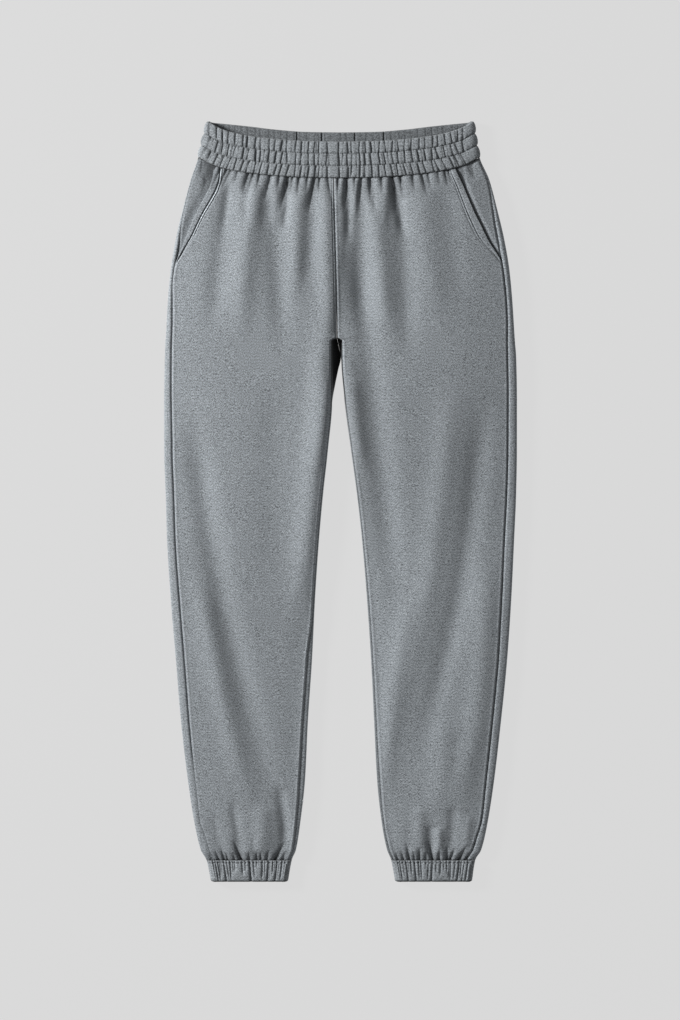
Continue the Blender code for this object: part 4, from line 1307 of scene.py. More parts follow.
    def build(self) -> Object:
        """The panel: its face, and its back one layer of cloth behind the plain form.

        Returns:
            The piece.
        """
        lie = self.lie
        rows = graded(lie.panel_top, lie.panel_end, ROW_STEPS)[:, None]
        outer, inner = (edge[:, None] for edge in self.edges(rows[:, 0]))
        x = outer + (inner - outer) * crowded(self.columns, self.crowding)
        down = lie.row_down("front", x, rows)
        face = lie.points(x, down, self.height(x, rows, outer, inner))
        back = lie.points(x, down, lie.front_height(self.side, x, down, fine=False))
        normals = grid_normals(back)
        from_outer, from_inner = self.from_edges(x, rows, outer, inner)
        mouth = self.mouth_share(rows)
        thin = 1 - self.mouth_thins * mouth * np.exp(-from_outer / self.mouth_thins_width)
        back = back - lie.cloth * thin[..., None] * normals * np.sign(normals[..., 2:])
        back[..., 2] = np.minimum(back[..., 2], face[..., 2] - lie.thinnest)
        # painted shade in the creases, times the panel's painted shade and light
        shade = lie.painted_cavity_shade(x, down) * self.shades(rows, from_outer, from_inner)
        wall = Wall(face, back[::2, ::2], shade=shade)
        return self.sew(wall, "leg_front_", "front_", "fleece")

    def shades(self, rows: Array, from_outer: Array, from_inner: Array) -> Array:
        """The painted shade and light apart from the creases: painted shade along its seams
        and, on the right, in the mouth's stitch rows, a painted highlight between them, and
        painted light and shade beside the inner edges and down the leg.

        Args:
            rows: The rows, as a column.
            from_outer: Distances from the outer cut edge.
            from_inner: Distances from the inner one.

        Returns:
            Painted shade and light, 1 on open cloth.
        """
        mouth = self.mouth_share(rows)
        shade = self.seam.shade(from_inner, self.deep_painted_shades[self.leg])
        shade = shade * self.seam.shade(from_outer, self.open_painted_shades[self.leg] * (1 - mouth))
        if self.side is Side.RIGHT:
            for row, part in zip(self.mouth_rows, self.mouth_parts):
                away = (from_outer - row * self.closing(rows)) / self.mouth_stitch.width
                dark = self.row_painted_shade * bell(away + self.row_shift, 1.0)
                shade = shade * (1 - mouth * part * dark)
            middle = sum(self.mouth_rows) / 2 * self.closing(rows)
            between = bell(from_outer - middle, self.between_width)
            shade = shade * (1 + self.between_painted_highlight * mouth * between)
        beside = bell(from_inner, self.rim_widths[self.leg])
        beside = beside * self.rim_starts.at(rows - self.lie.crotch)
        shade = shade * (1 + self.rim_painted_shading[self.leg] * beside)
        return shade * (1 + self.low_painted_shading[self.leg] * self.low_starts.at(rows))

    def stitch_line(self, edge: str, offset: float, first: float, last: float) -> Array:
        """A line on the face at a distance from a cut edge.

        Args:
            edge: mouth or centre.
            offset: That distance.
            first: The row that it starts at.
            last: The row that it ends at.

        Returns:
            Points along it.
        """
        lie, sign = self.lie, self.side.value
        rows = np.linspace(first, last, self.line_points)
        outer, inner = self.edges(rows)
        slant = np.sqrt(1 + np.gradient(outer, rows) ** 2) * self.closing(rows)
        x = outer - sign * offset * slant if edge == "mouth" else inner + sign * offset
        grid = (x[:, None], rows[:, None], outer[:, None], inner[:, None])
        return lie.points(x, lie.row_down("front", x, rows), self.height(*grid)[:, 0])

    def stitch_rows(self) -> list[tuple[Array, Topstitch]]:
        """The panel's rows of stitches: beside its mouth and, on the right, the centre.

        Returns:
            Each line and its style.
        """
        rows = [
            (self.stitch_line("mouth", offset, *self.mouth_row_ends), self.mouth_stitch)
            for offset in self.mouth_rows
        ]
        if self.side is Side.RIGHT:
            centre = self.stitch_line("centre", self.centre_row, *self.centre_row_ends)
            rows.append((centre, self.centre_stitch))
        return rows


@dataclass
class BackPanel(Paired):
    """A back leg panel: from the side seam round the outer edge, along the surface, and up
    between the legs to the inseam. Above the crotch it lies flat to the centre back seam."""

    over_columns: int = 14
    round_columns: int = 10
    flat_columns: int = 57
    tail_columns: int = 26
    under_round: float = 0.009
    fork_end: float = 0.375
    fork_rim: float = 0.0042
    fork_round: float = 0.0065
    fork_cloth: float = 0.0018
    fork_drop: float = 0.0019
    fork_drop_end: float = 0.020
    fork_lean: float = 0.0002
    # painted shade in the fork's slot
    fork_painted_shade: float = 0.03
    strip_cloth: float = 0.0010  # where the strip over the edge is narrow
    narrow_strip: float = 0.0055
    strip_painted_light: float = 1.22  # painted light on the strip, on the side away from the light
    # painted light along the right inseam, painted shade on the left rim, and painted shade along
    # the side seams
    inseam_painted_light: float = 1.30
    rim_painted_shade: float = 0.42
    seams: tuple[Seam, Seam] = (Seam(), Seam(depth=0.0012, roll=0.00012))  # right and left
    seam_painted_shade: float = 0.5
    seam_painted_shade_low: float = 0.2  # its share of that below the knee
    seam_fades: Ramp = Ramp(0.45, 0.30)
    crease_count: int = 16
    crease_height: float = 0.0011
    crease_seed: int = 11
    crease_ranges: tuple[Two, ...] = (
        (-0.075, 0.075), (-0.12, 0.12), (0.06, 0.85), (0.08, 0.30), (0.004, 0.011), (0.35, 1.0),
    )  # place, lean, start, reach, width and share
    calm_ends: float = 0.02
    plain_sink: float = 0.3
    tail_reach: float = 0.012
    foot_turns: tuple[float, ...] = (0, 34, 62, 90)  # degrees
    wall_knots: tuple[float, ...] = (0, 0.12, 0.24, 0.38, 0.70, 1.0)
    thin_turn: int = 2  # how many columns of the turn are as thin as the narrow strip
    light_turn: int = 3  # and how many are as light
    fork_starts: Ramp = Ramp(-0.004, 0.004)  # from the crotch
    fork_fades: Ramp = Ramp(0.34, 0.06)
    fork_rises: Ramp = Ramp(0.006, 0.008)  # up the wall, as the next
    strip_rises: Ramp = Ramp(0.007, 0.004)
    fork_painted_shades: Two = (0.85, 0.15)  # painted shade in the slot: all the way up, and added low down
    inseam_starts: Ramp = Ramp(0.64, 0.07)
    rim_starts: Ramp = Ramp(0.04, 0.05)  # from the crotch
    cut: ClassVar[Cut] = Cut(0.310, 1.000, 0.235)

    @property
    def seam(self) -> Seam:
        """This side's side seam."""
        return self.seams[self.leg]

    def under_edge(
        self, edge: Array, rim: Array, outward: int, reach: float, angles: Array
    ) -> tuple[Array, Array]:
        """The curve from the flat underside up to a folded edge's outermost line: a quarter
        of an ellipse, as tall as rim and reach wide.

        Args:
            edge: X of the outermost line at each row, as a column.
            rim: Its height, a number or a column.
            outward: The sign of X that the fold faces.
            reach: How far in the curve starts.
            angles: Turns along the quarter, 0 at the underside.

        Returns:
            X and Z of its points.
        """
        x = edge - outward * reach * (1 - np.sin(angles))
        return x, np.broadcast_to(rim * (1 - np.cos(angles)), x.shape)

    def tail(self, rows: Array) -> tuple[Array, Array]:
        """The inner end of each row: flat to the centre seam above the crotch, and below it
        a wall that stands up from the surface to the inseam, drawn through six knots.

        Args:
            rows: The rows, as a column.

        Returns:
            X and Z of its points.
        """
        lie, side, sign = self.lie, self.side, self.side.value
        inner = lie.inner_edge(side, rows)
        insets = lie.seam_gap / 2 + np.linspace(self.tail_reach, 0, self.tail_columns)
        foot = np.where(rows < self.fork_end, column(FEET, side.word, rows), inner)
        quarter = np.radians(self.foot_turns)
        x_under, z_under = self.under_edge(foot, self.fork_rim, -sign, self.fork_round, quarter)
        inseam = lie.seam_x(side, "inseam", rows) - sign * lie.seam_gap / 2
        inseam = sign * np.maximum(sign * inseam, sign * inner + lie.seam_gap / 2)
        z_seam = lie.front_height(side, inseam, rows) - self.seam.depth
        below = self.fork_drop * (1 - smooth((rows - lie.crotch) / self.fork_drop_end))
        z_seam = z_seam - below - lie.seam_gap / 2
        lean = sign * np.minimum(sign * inner + self.fork_lean, sign * inseam)
        knots, places = self.wall_knots, np.linspace(0, 1, self.tail_columns)
        x_wall = through(knots, np.concatenate([x_under, lean, inseam], axis=1), places)
        z_knots = [z_under, (self.fork_rim + z_seam) / 2, z_seam]
        z_wall = through(knots, np.concatenate(z_knots, axis=1), places)
        strip = np.clip((places - knots[4]) / (1 - knots[4]), 0, 1)
        z_strip = z_knots[1] + (z_seam - z_knots[1]) * rise(strip)
        z_wall = np.where(places > knots[4], z_strip, z_wall)
        forked = rows >= lie.crotch
        return np.where(forked, x_wall, inner + sign * insets), np.where(forked, z_wall, 0.0)

    def lifts(self, x: Array, down: Array) -> Array:
        """Soft creases of the hidden side, which lift the cloth off the surface: bells
        across slanting paths, of uneven height, width and length.

        Args:
            x: Places across.
            down: Distances down.

        Returns:
            Heights, from 0 up.
        """
        chance = np.random.default_rng(self.crease_seed + self.side.value)
        middle = (self.lie.outer_edge(self.side, down) + self.lie.inner_edge(self.side, down)) / 2
        total = np.zeros(x.shape)
        for _ in range(self.crease_count):
            place, lean, start, reach, width, share = (
                chance.uniform(*ends) for ends in self.crease_ranges
            )
            along = np.clip((down - start) / reach, 0, 1)
            path = middle + place + lean * (down - start)
            ends = np.sin(np.pi * along) ** 2
            total = total + self.crease_height * share * ends * bells(x, path, width, 2)
        return total

    def build(self) -> Object:
        """The panel: its outer face in four stretches, and its back one layer inside.

        Returns:
            The piece.
        """
        lie, side, sign = self.lie, self.side, self.side.value
        rows = graded(lie.panel_top, lie.panel_end, ROW_STEPS)[:, None]
        outer = lie.outer_edge(side, rows)
        seam = lie.side_seam(side, rows[:, 0])[:, None] + sign * lie.seam_gap / 2
        over = (1 - np.arange(self.over_columns) / self.over_columns) ** 2
        x_top = outer + (seam - outer) * over
        down_top = lie.row_down("front", x_top, rows)
        z_plain = lie.front_height(side, x_top, down_top, fine=False)
        z_top = lie.front_height(side, x_top, down_top)
        from_seam = (x_top - seam) * sign
        z_top = z_top - lie.seam_share(side, rows) * self.seam.drop(from_seam, down_top)
        angles = np.linspace(np.pi / 2, 0, self.round_columns)
        rim = lie.edge_height(rows)
        x_out, z_out = self.under_edge(outer, rim, sign, self.under_round, angles)
        x_tail, z_tail = self.tail(rows)
        shares = np.linspace(0, 1, self.flat_columns + 2)[1:-1]
        x_flat = x_out[:, -1:] + (x_tail[:, :1] - x_out[:, -1:]) * shares
        x = np.concatenate([x_top, x_out, x_flat, x_tail], axis=1)
        down = lie.row_down("back", x, rows)
        down[:, : self.over_columns] = down_top
        calm = np.sqrt(np.sin(np.pi * shares)) * smooth((rows - lie.panel_top) / self.calm_ends)
        calm = calm * smooth((lie.panel_end - rows) / self.calm_ends)
        hidden = slice(self.over_columns + self.round_columns, -self.tail_columns)
        z_flat = calm * self.lifts(x_flat, down[:, hidden])
        z = np.concatenate([z_top, z_out, z_flat, z_tail], axis=1)
        z_plain, flat = z_plain - self.seam.depth * self.plain_sink, np.zeros_like(z_flat)
        face = lie.points(x, down, z)
        back = lie.points(x, down, np.concatenate([z_plain, z_out, flat, z_tail], axis=1))
        normals = grid_normals(back) * -sign
        cloth = np.full(x.shape + (1,), lie.cloth)
        tight = (rows[:, 0] >= lie.crotch) & (rows[:, 0] < self.fork_end)
        cloth[tight, -self.tail_columns:] = self.fork_cloth
        narrow = np.abs(seam - outer)[:, 0] < self.narrow_strip
        cloth[narrow, : self.over_columns + self.thin_turn] = self.strip_cloth
        back = back - cloth * normals
        # painted shade and light: along the strip's seam, lighter on the left strip, and in the
        # tail
        shade = np.ones(x.shape)
        shade[:, : self.over_columns] = self.strip_shades(rows, from_seam)
        if side is Side.LEFT:
            shade[:, : self.over_columns + self.light_turn] *= self.strip_painted_light
        shade[:, -self.tail_columns:] = self.tail_shades(rows, z_tail)
        wall = Wall(face, back[::2, ::2], shade=shade)
        return self.sew(wall, "leg_back_", "back_", "fleece")

    def strip_shades(self, rows: Array, from_seam: Array) -> Array:
        """The painted shade of the strip over the edge, along the side seam.

        Args:
            rows: The rows, as a column.
            from_seam: Distances from the seam.

        Returns:
            Painted shade.
        """
        share = self.seam_painted_shade_low * self.seam_painted_shade
        if self.side is Side.RIGHT:
            kept = 1 - (1 - self.seam_painted_shade_low) * self.seam_fades.at(rows)
            share = self.seam_painted_shade * kept
        return self.seam.shade(from_seam, share)

    def tail_shades(self, rows: Array, z_tail: Array) -> Array:
        """The painted shade and light of the inner end: painted shade in the fork's slot, and
        along the inseam painted light on the right and painted shade on the left.

        Args:
            rows: The rows, as a column.
            z_tail: Its heights.

        Returns:
            Shades.
        """
        from_crotch = rows - self.lie.crotch
        depth = (1 - self.fork_fades.at(rows)) * self.fork_starts.at(from_crotch)
        low = 1 - self.fork_rises.at(z_tail)
        even, added = self.fork_painted_shades
        dark = 1 - (1 - self.fork_painted_shade) * depth * (even + added * low)
        strip = self.strip_rises.at(z_tail)
        if self.side is Side.RIGHT:
            return dark * (1 + (self.inseam_painted_light - 1) * strip * self.inseam_starts.at(rows))
        return dark * (1 - self.rim_painted_shade * strip * self.rim_starts.at(from_crotch))


@dataclass
class PocketPanel(Paired):
    """The side panel that shows in a slanted pocket mouth: flush at the side seam, and one
    layer down under the front panel's edge."""

    underlap: float = 0.013
    lip: float = 0.0015
    clear: float = 0.0006
    eases: Two = (0.0104, 0.0065)  # right and left
    step_share: float = 0.7  # its rows' steps, in the legs'
    lip_thins: float = 0.30
    lip_thins_width: float = 0.004
    outside_columns: int = 36
    inside_columns: int = 17
    hollow: float = 0.0003
    hollow_width: float = 0.006
    hollow_from: float = 0.045
    # painted shade beside the mouth: narrow in the slit on the left, and soft on the right
    slit_painted_shade: float = 0.14
    slit_width: float = 0.0026
    slit_start: float = 0.15
    soft_painted_shade: float = 0.50  # the painted shade on the side that the light reaches
    soft_width: float = 0.0048
    soft_ends: Ramp = Ramp(0.064, 0.050)
    fine_limit: float = 0.0018
    painted_panel_shades: Two = (0.80, 0.93)  # painted shade over the whole panel, right and left
    seam: Seam = Seam()
    cut: ClassVar[Cut] = Cut(0.040, 0.170, 0.0042)

    def build(self) -> Object:
        """The panel: below the front by a layer that eases out towards the side seam.

        Returns:
            The piece.
        """
        lie, side, sign = self.lie, self.side, self.side.value
        stop = lie.mouth_end + self.underlap
        steps = [Spacing(place.down, place.step * self.step_share) for place in ROW_STEPS]
        rows = graded(lie.panel_top, stop, steps)
        seam, mouth = lie.side_seam(side, rows), lie.mouth_line(side, rows)
        slant = np.sqrt(1 + np.gradient(mouth, rows)[:, None] ** 2)
        rows, seam, mouth = rows[:, None], seam[:, None] - sign * lie.seam_gap / 2, mouth[:, None]
        lip = mouth + sign * self.lip
        lip = sign * np.minimum(sign * lip, sign * seam - self.lip / 2)
        end = mouth - sign * self.underlap
        outside = np.linspace(0, 1, self.outside_columns, endpoint=False)
        inside = np.linspace(0, 1, self.inside_columns)
        x = np.concatenate([seam + (lip - seam) * outside, lip + (end - lip) * inside], axis=1)
        down = lie.row_down("front", x, rows)
        layer = (lie.cloth + self.clear) * (1 - smooth((x - lip) * sign / self.eases[self.leg]))
        inward = np.maximum((mouth - x) * sign, 0) / self.lip_thins_width
        layer = layer * (1 - self.lip_thins * np.exp(-inward))
        plain = lie.points(x, down, lie.front_height(side, x, down, fine=False))
        normals = grid_normals(plain)
        normals = normals * np.sign(normals[..., 2:])
        base = plain - layer[..., None] * normals
        back = base - lie.cloth * normals
        fine = lie.front_height(side, x, down) - plain[..., 2]
        along = (rows - self.hollow_from) / (lie.mouth_end - self.hollow_from)
        hollow = self.hollow * bell(x - mouth, self.hollow_width)
        hollow = hollow * np.sin(np.pi * np.clip(along, 0, 1))
        face = base.copy()
        face[..., 2] += np.maximum(fine, -self.fine_limit) - hollow
        turn = lie.seam_share(side, rows) * self.seam.drop((seam - x) * sign, down)
        face[..., 2] -= turn * (x * sign > mouth * sign)
        back[..., 2] = np.minimum(back[..., 2] - hollow, face[..., 2] - lie.thinnest)
        # painted shade beside the mouth, in the creases and over the whole panel
        outward = (x - mouth) * sign / slant
        slit, width = self.slit_painted_shade, self.slit_width
        if side is Side.RIGHT:
            slit = 1 - (1 - self.soft_painted_shade) * (1 - self.soft_ends.at(rows))
            width = self.soft_width
        shade = 1 - (1 - slit) * (1 - smooth(outward / width - self.slit_start))
        shade = shade * lie.painted_cavity_shade(x, down) * self.painted_panel_shades[self.leg]
        wall = Wall(face, back[::2, ::2], shade=shade)
        return self.sew(wall, "pocket_side_", "pocket_", "fleece")


@dataclass
class Casing(Piece):
    """The waist's elastic casing: three puffed rows between two stitch lines, gathered into
    narrow creases. The front half runs from fold to fold, and the back half lies behind."""

    rows: int = 3
    steps_a_row: int = 20
    cloth: float = 0.0036
    fold_columns: int = 14
    columns: int = 541
    fold_share: float = 0.035  # the share across that the columns near a fold take
    puff: float = 0.0014
    puff_power: float = 0.42
    bow: float = 0.0010
    nose: float = 0.0014
    seam_nose: float = 0.8  # the rounding at the seam, as a share of the top's
    groove: float = 0.0009
    groove_width: float = 0.0008
    groove_wave: float = 0.4
    # how much the painted shade of the stitch lines fades between stitches
    painted_shade_wave: float = 0.35
    calm_share: float = 0.02
    row_depths: Two = (0.75, 0.25)  # at the stitch lines, and added between
    thinnest: float = 0.0005
    spacing: float = 0.0086
    jitter: float = 0.20
    depth: float = 0.0029
    width: float = 0.00070
    shift: float = 0.10
    first_crease: float = -0.181
    creased: float = 0.36
    fan: float = 0.42  # how far the outermost creases lean
    fan_first: float = 0.25  # the top row's share of it
    fan_width: float = 0.18
    row_blend: float = 0.12
    away_power: float = 1.4
    ranges: tuple[Two, ...] = (
        (-0.13, 0.13), (0.65, 1.0), (0.75, 1.3), (0.35, 1.0), (-0.9, 0.9),
    )  # lean, strength, width, what reaches the middle, and which end is slighter
    slight_ranges: tuple[Two, ...] = ((0.0, 0.55), (0.0, 0.7))
    one_sided: float = 0.6
    valley: Valley = Valley(1.3, 3.0, (0.66, 0.40), 0.0006)
    deepest: float = 1.15
    # painted shade in the creases and along the stitch lines
    crease_painted_shade: float = 0.62
    row_painted_shade: float = 0.62
    edge_tight: float = 0.0090
    edge_share: float = 0.60
    calm_from: float = -0.0130
    calm_to: float = -0.0030
    front_seed: int = 300
    stitch: Topstitch = Topstitch(pitch=0.0031, stitch=0.0021)
    cut: ClassVar[Cut] = Cut(0.480, 0.0500, 0.0240, "gathered")
    back_columns: int = 401
    back_steps: int = 12
    # painted shade on the back half's inside and the front half's back
    back_shade: float = 0.62
    back_fold: float = 0.009
    back_calm: float = 0.03
    outside_seed: int = 500
    outside_depth: float = 0.0009
    outside_rows: float = 0.5
    inside_seed: int = 900
    inside_depth: float = 0.0017
    inside_share: float = 0.40
    inside_rows: float = 0.45
    inside_nose: float = 0.0013
    # painted shade in the inside's puckers
    inside_painted_shade: float = 0.66
    puckers: tuple[float, ...] = (-0.0573, -0.0244, 0.0191, 0.0573)
    pucker_share: float = 1.2

    def places(self, count: int) -> Array:
        """Shares across, from the right fold to the left: quadratic near each fold.

        Args:
            count: How many lie between the folds.

        Returns:
            Rising shares.
        """
        near = self.fold_share * (np.arange(self.fold_columns) / self.fold_columns) ** 2
        between = np.linspace(self.fold_share, 1 - self.fold_share, count)
        return np.concatenate([near, between, 1 - near[::-1]])

    def arches(self, share: Array) -> Array:
        """0 at the edges and the stitch lines, and 1 in the middle of each row."""
        return np.abs(np.sin(np.pi * self.rows * share))

    def fold_x(self, side: Side, share: Array) -> Array:
        """The side fold's X at shares of the height: it bulges between the stitch lines."""
        edge = self.lie.outer_edge(side, share * self.lie.band_height)
        return edge + side.value * self.bow * self.arches(share)

    def crease_depths(self, x: Array, share: Array, seed: int, fan: float) -> Array:
        """How deep the gathered creases cut: in each row, narrow valleys at uneven places,
        every other one slight, upright in the middle and fanning out to both sides.

        Args:
            x: Places across.
            share: Shares of the height, as a column.
            seed: Which face of which half this is.
            fan: How far the outermost creases lean.

        Returns:
            Depths, from 0 up, as parts of the full depth.
        """
        total = np.zeros(x.shape)
        chance = np.random.default_rng(seed)
        count = 2 * int(self.creased / self.spacing)
        even = self.first_crease + self.spacing / 2 * np.arange(count)
        bases = even + self.jitter * self.spacing * chance.uniform(-1, 1, count)
        for row in range(self.rows):
            starts = bases + self.shift * self.spacing * chance.uniform(-1, 1, count)
            within = share * self.rows - row
            here = smooth(within / self.row_blend + 0.5)
            here = here * smooth((1 - within) / self.row_blend + 0.5)
            along = (within - 0.5) * self.lie.band_height / self.rows
            away = np.abs(2 * np.clip(within, 0, 1) - 1) ** self.away_power
            for number, start in enumerate(starts):
                lean, strength, width, middle, one_end = (
                    chance.uniform(*ends) for ends in self.ranges
                )
                if number % 2:
                    strength, middle = (chance.uniform(*ends) for ends in self.slight_ranges)
                if self.calm_from < start < self.calm_to:
                    continue
                lean = fan * (row / 2 + self.fan_first) * start / self.fan_width + lean
                reach = middle + (1 - middle) * away
                reach = reach * (1 - self.one_sided * smooth(one_end * (2 * within - 1)))
                valley = self.valley.depths(x, start + lean * along, self.width * width)
                total = total + here * reach * strength * valley
        return np.minimum(total, self.deepest)

    def front_creases(self, x: Array, share: Array) -> Array:
        """The front half's creases."""
        return self.crease_depths(x, share, self.front_seed, self.fan)

    def stitched(self, x: Array, share: Array, lines: int, wave: float) -> Array:
        """Bells across the first stitch lines, with a dot for each stitch.

        Args:
            x: Places across.
            share: Shares of the height, as a column.
            lines: How many lines, from the top.
            wave: How much the line fades between stitches.

        Returns:
            Shares of a line's depth or painted shade.
        """
        total = np.zeros(x.shape)
        for line in range(1, lines + 1):
            away = (share - line / self.rows) * self.lie.band_height
            total = total + self.stitch.dots(x, wave, line) * bell(away, self.groove_width)
        return total

    def spread(self, share: Array, places: Array, dip: str) -> tuple[Array, Array, Array]:
        """Where a half of the casing lies, from fold to fold.

        Args:
            share: Shares of the height, as a column.
            places: Shares across.
            dip: Which half it is, front or back.

        Returns:
            X, distances down, and distances from the nearer fold.
        """
        right, left = self.fold_x(Side.RIGHT, share), self.fold_x(Side.LEFT, share)
        x = right + (left - right) * places
        down = share * self.lie.band_height + column(DIPS, dip, np.abs(2 * places - 1))
        return x, down, np.minimum(x - right, left - x)

    def front_form(self, share: Array, places: Array) -> Array:
        """The plain front half: crowned across, and round down to both side folds.

        Args:
            share: Shares of the height, as a column.
            places: Shares across.

        Returns:
            Points.
        """
        lie = self.lie
        x, down, away = self.spread(share, places, "front")
        crown = column(STATIONS, "crown", share * lie.band_height)
        low = lie.edge_height(share * lie.band_height)
        over = shoulder(away, self.edge_tight, lie.outer_broad, self.edge_share)
        z = low + lie.seam_gap / 2 + (crown - low) * over
        return lie.points(x, down, z)

    def shape_normals(self, points: Array, facing: int = 1) -> Array:
        """Normals from each row's slope across, level with the surface at both folds.

        Args:
            points: The plain half.
            facing: 1 for upwards, -1 for downwards.

        Returns:
            A normal for each point.
        """
        run, climb = np.gradient(points[..., 0], axis=1), np.gradient(points[..., 2], axis=1)
        normals = facing * unit(np.stack([-climb, np.zeros_like(run), run], axis=-1))
        normals[:, 0], normals[:, -1] = (-1, 0, 0), (1, 0, 0)
        return normals

    def lift(self, x: Array, share: Array, places: Array) -> Array:
        """How far the cloth stands off the plain form: puffed rows less their creases, the
        stitch grooves, and a rounded edge at the top and at the seam.

        Args:
            x: Places across.
            share: Shares of the height, as a column.
            places: Shares across.

        Returns:
            Heights along the normals.
        """
        lie = self.lie
        puff = self.arches(share) ** self.puff_power
        calm = smooth(np.minimum(places, 1 - places) / self.calm_share)
        least, added = self.row_depths
        creases = self.front_creases(x, share) * (least + added * puff)
        lift = self.puff * puff - calm * self.depth * creases
        lift = lift - self.groove * self.stitched(x, share, self.rows - 1, self.groove_wave)
        lift = lift - nose(share * lie.band_height, self.nose)
        lift = lift - nose((1 - share) * lie.band_height, self.nose * self.seam_nose)
        return np.maximum(lift, -self.cloth + self.thinnest)

    def build_front(self) -> Object:
        """The front half, whose plain inside is its back.

        Returns:
            The piece.
        """
        share = np.linspace(0, 1, self.rows * self.steps_a_row + 1)[:, None]
        places = self.places(self.columns)
        form = self.front_form(share, places)
        x, normals = form[..., 0], self.shape_normals(form)
        face = form + self.lift(x, share, places)[..., None] * normals
        back = form - self.cloth * normals
        # painted shade along the stitch lines and in the creases
        rows = self.stitched(x, share, self.rows, self.painted_shade_wave)
        valleys = np.clip(self.front_creases(x, share), 0, 1)
        shade = 1 - np.maximum(self.row_painted_shade * rows, self.crease_painted_shade * valleys)
        wall = Wall(face, back[::2, ::2], shade=shade, back_shade=self.back_shade)
        return self.dress(wall.make("casing_front"), "waistband_front", "casing")

    def build_back(self) -> Object:
        """The back half: its inside faces up and shows in the mouth, and its outside lies
        on the surface, with creases that lift off it.

        Returns:
            The piece.
        """
        lie = self.lie
        share = np.linspace(0, 1, self.rows * self.back_steps + 1)[:, None]
        places = self.places(self.back_columns)
        x, down, away = self.spread(share, places, "back")
        inward = np.clip(1 - away / self.back_fold, 0, 1)
        low = lie.edge_height(share * lie.band_height)
        z = (low - lie.seam_gap / 2) * (1 - np.sqrt(1 - inward**2))
        form = lie.points(x, down, z)
        normals = self.shape_normals(form, facing=-1)
        calm = smooth(np.minimum(places, 1 - places) / self.back_calm)
        dents = 1 - self.arches(share) ** self.puff_power
        creases = self.crease_depths(x, share, self.outside_seed, self.fan)
        under = calm * self.outside_depth * (creases + self.outside_rows * dents)
        outside = form - under[..., None] * normals
        pucker = self.crease_depths(x, share, self.inside_seed, 0.0) * self.inside_share
        for place in self.puckers:
            pucker = pucker + self.pucker_share * bells(x, place, self.width, self.valley.power)
        depth = self.inside_depth * calm * (pucker + self.inside_rows * dents)
        depth = depth + nose(share * lie.band_height, self.inside_nose)
        inside = form - (self.cloth - depth)[..., None] * normals
        # painted shade over the inside, deeper in its puckers
        shade = self.back_shade * (1 - self.inside_painted_shade * np.clip(pucker, 0, 1))
        obj = Wall(inside, outside, shade=shade).make("casing_back")
        return self.dress(obj, "waistband_back", "casing")

    def stitch_lines(self) -> list[Array]:
        """Points along the two stitch lines of the front half.

        Returns:
            A line of points for each.
        """
        lines = []
        places = self.places(self.columns)
        for line in range(1, self.rows):
            share = np.full((1, 1), line / self.rows)
            form = self.front_form(share, places)
            lift = self.lift(form[..., 0], share, places)
            lines.append((form + lift[..., None] * self.shape_normals(form))[0])
        return lines


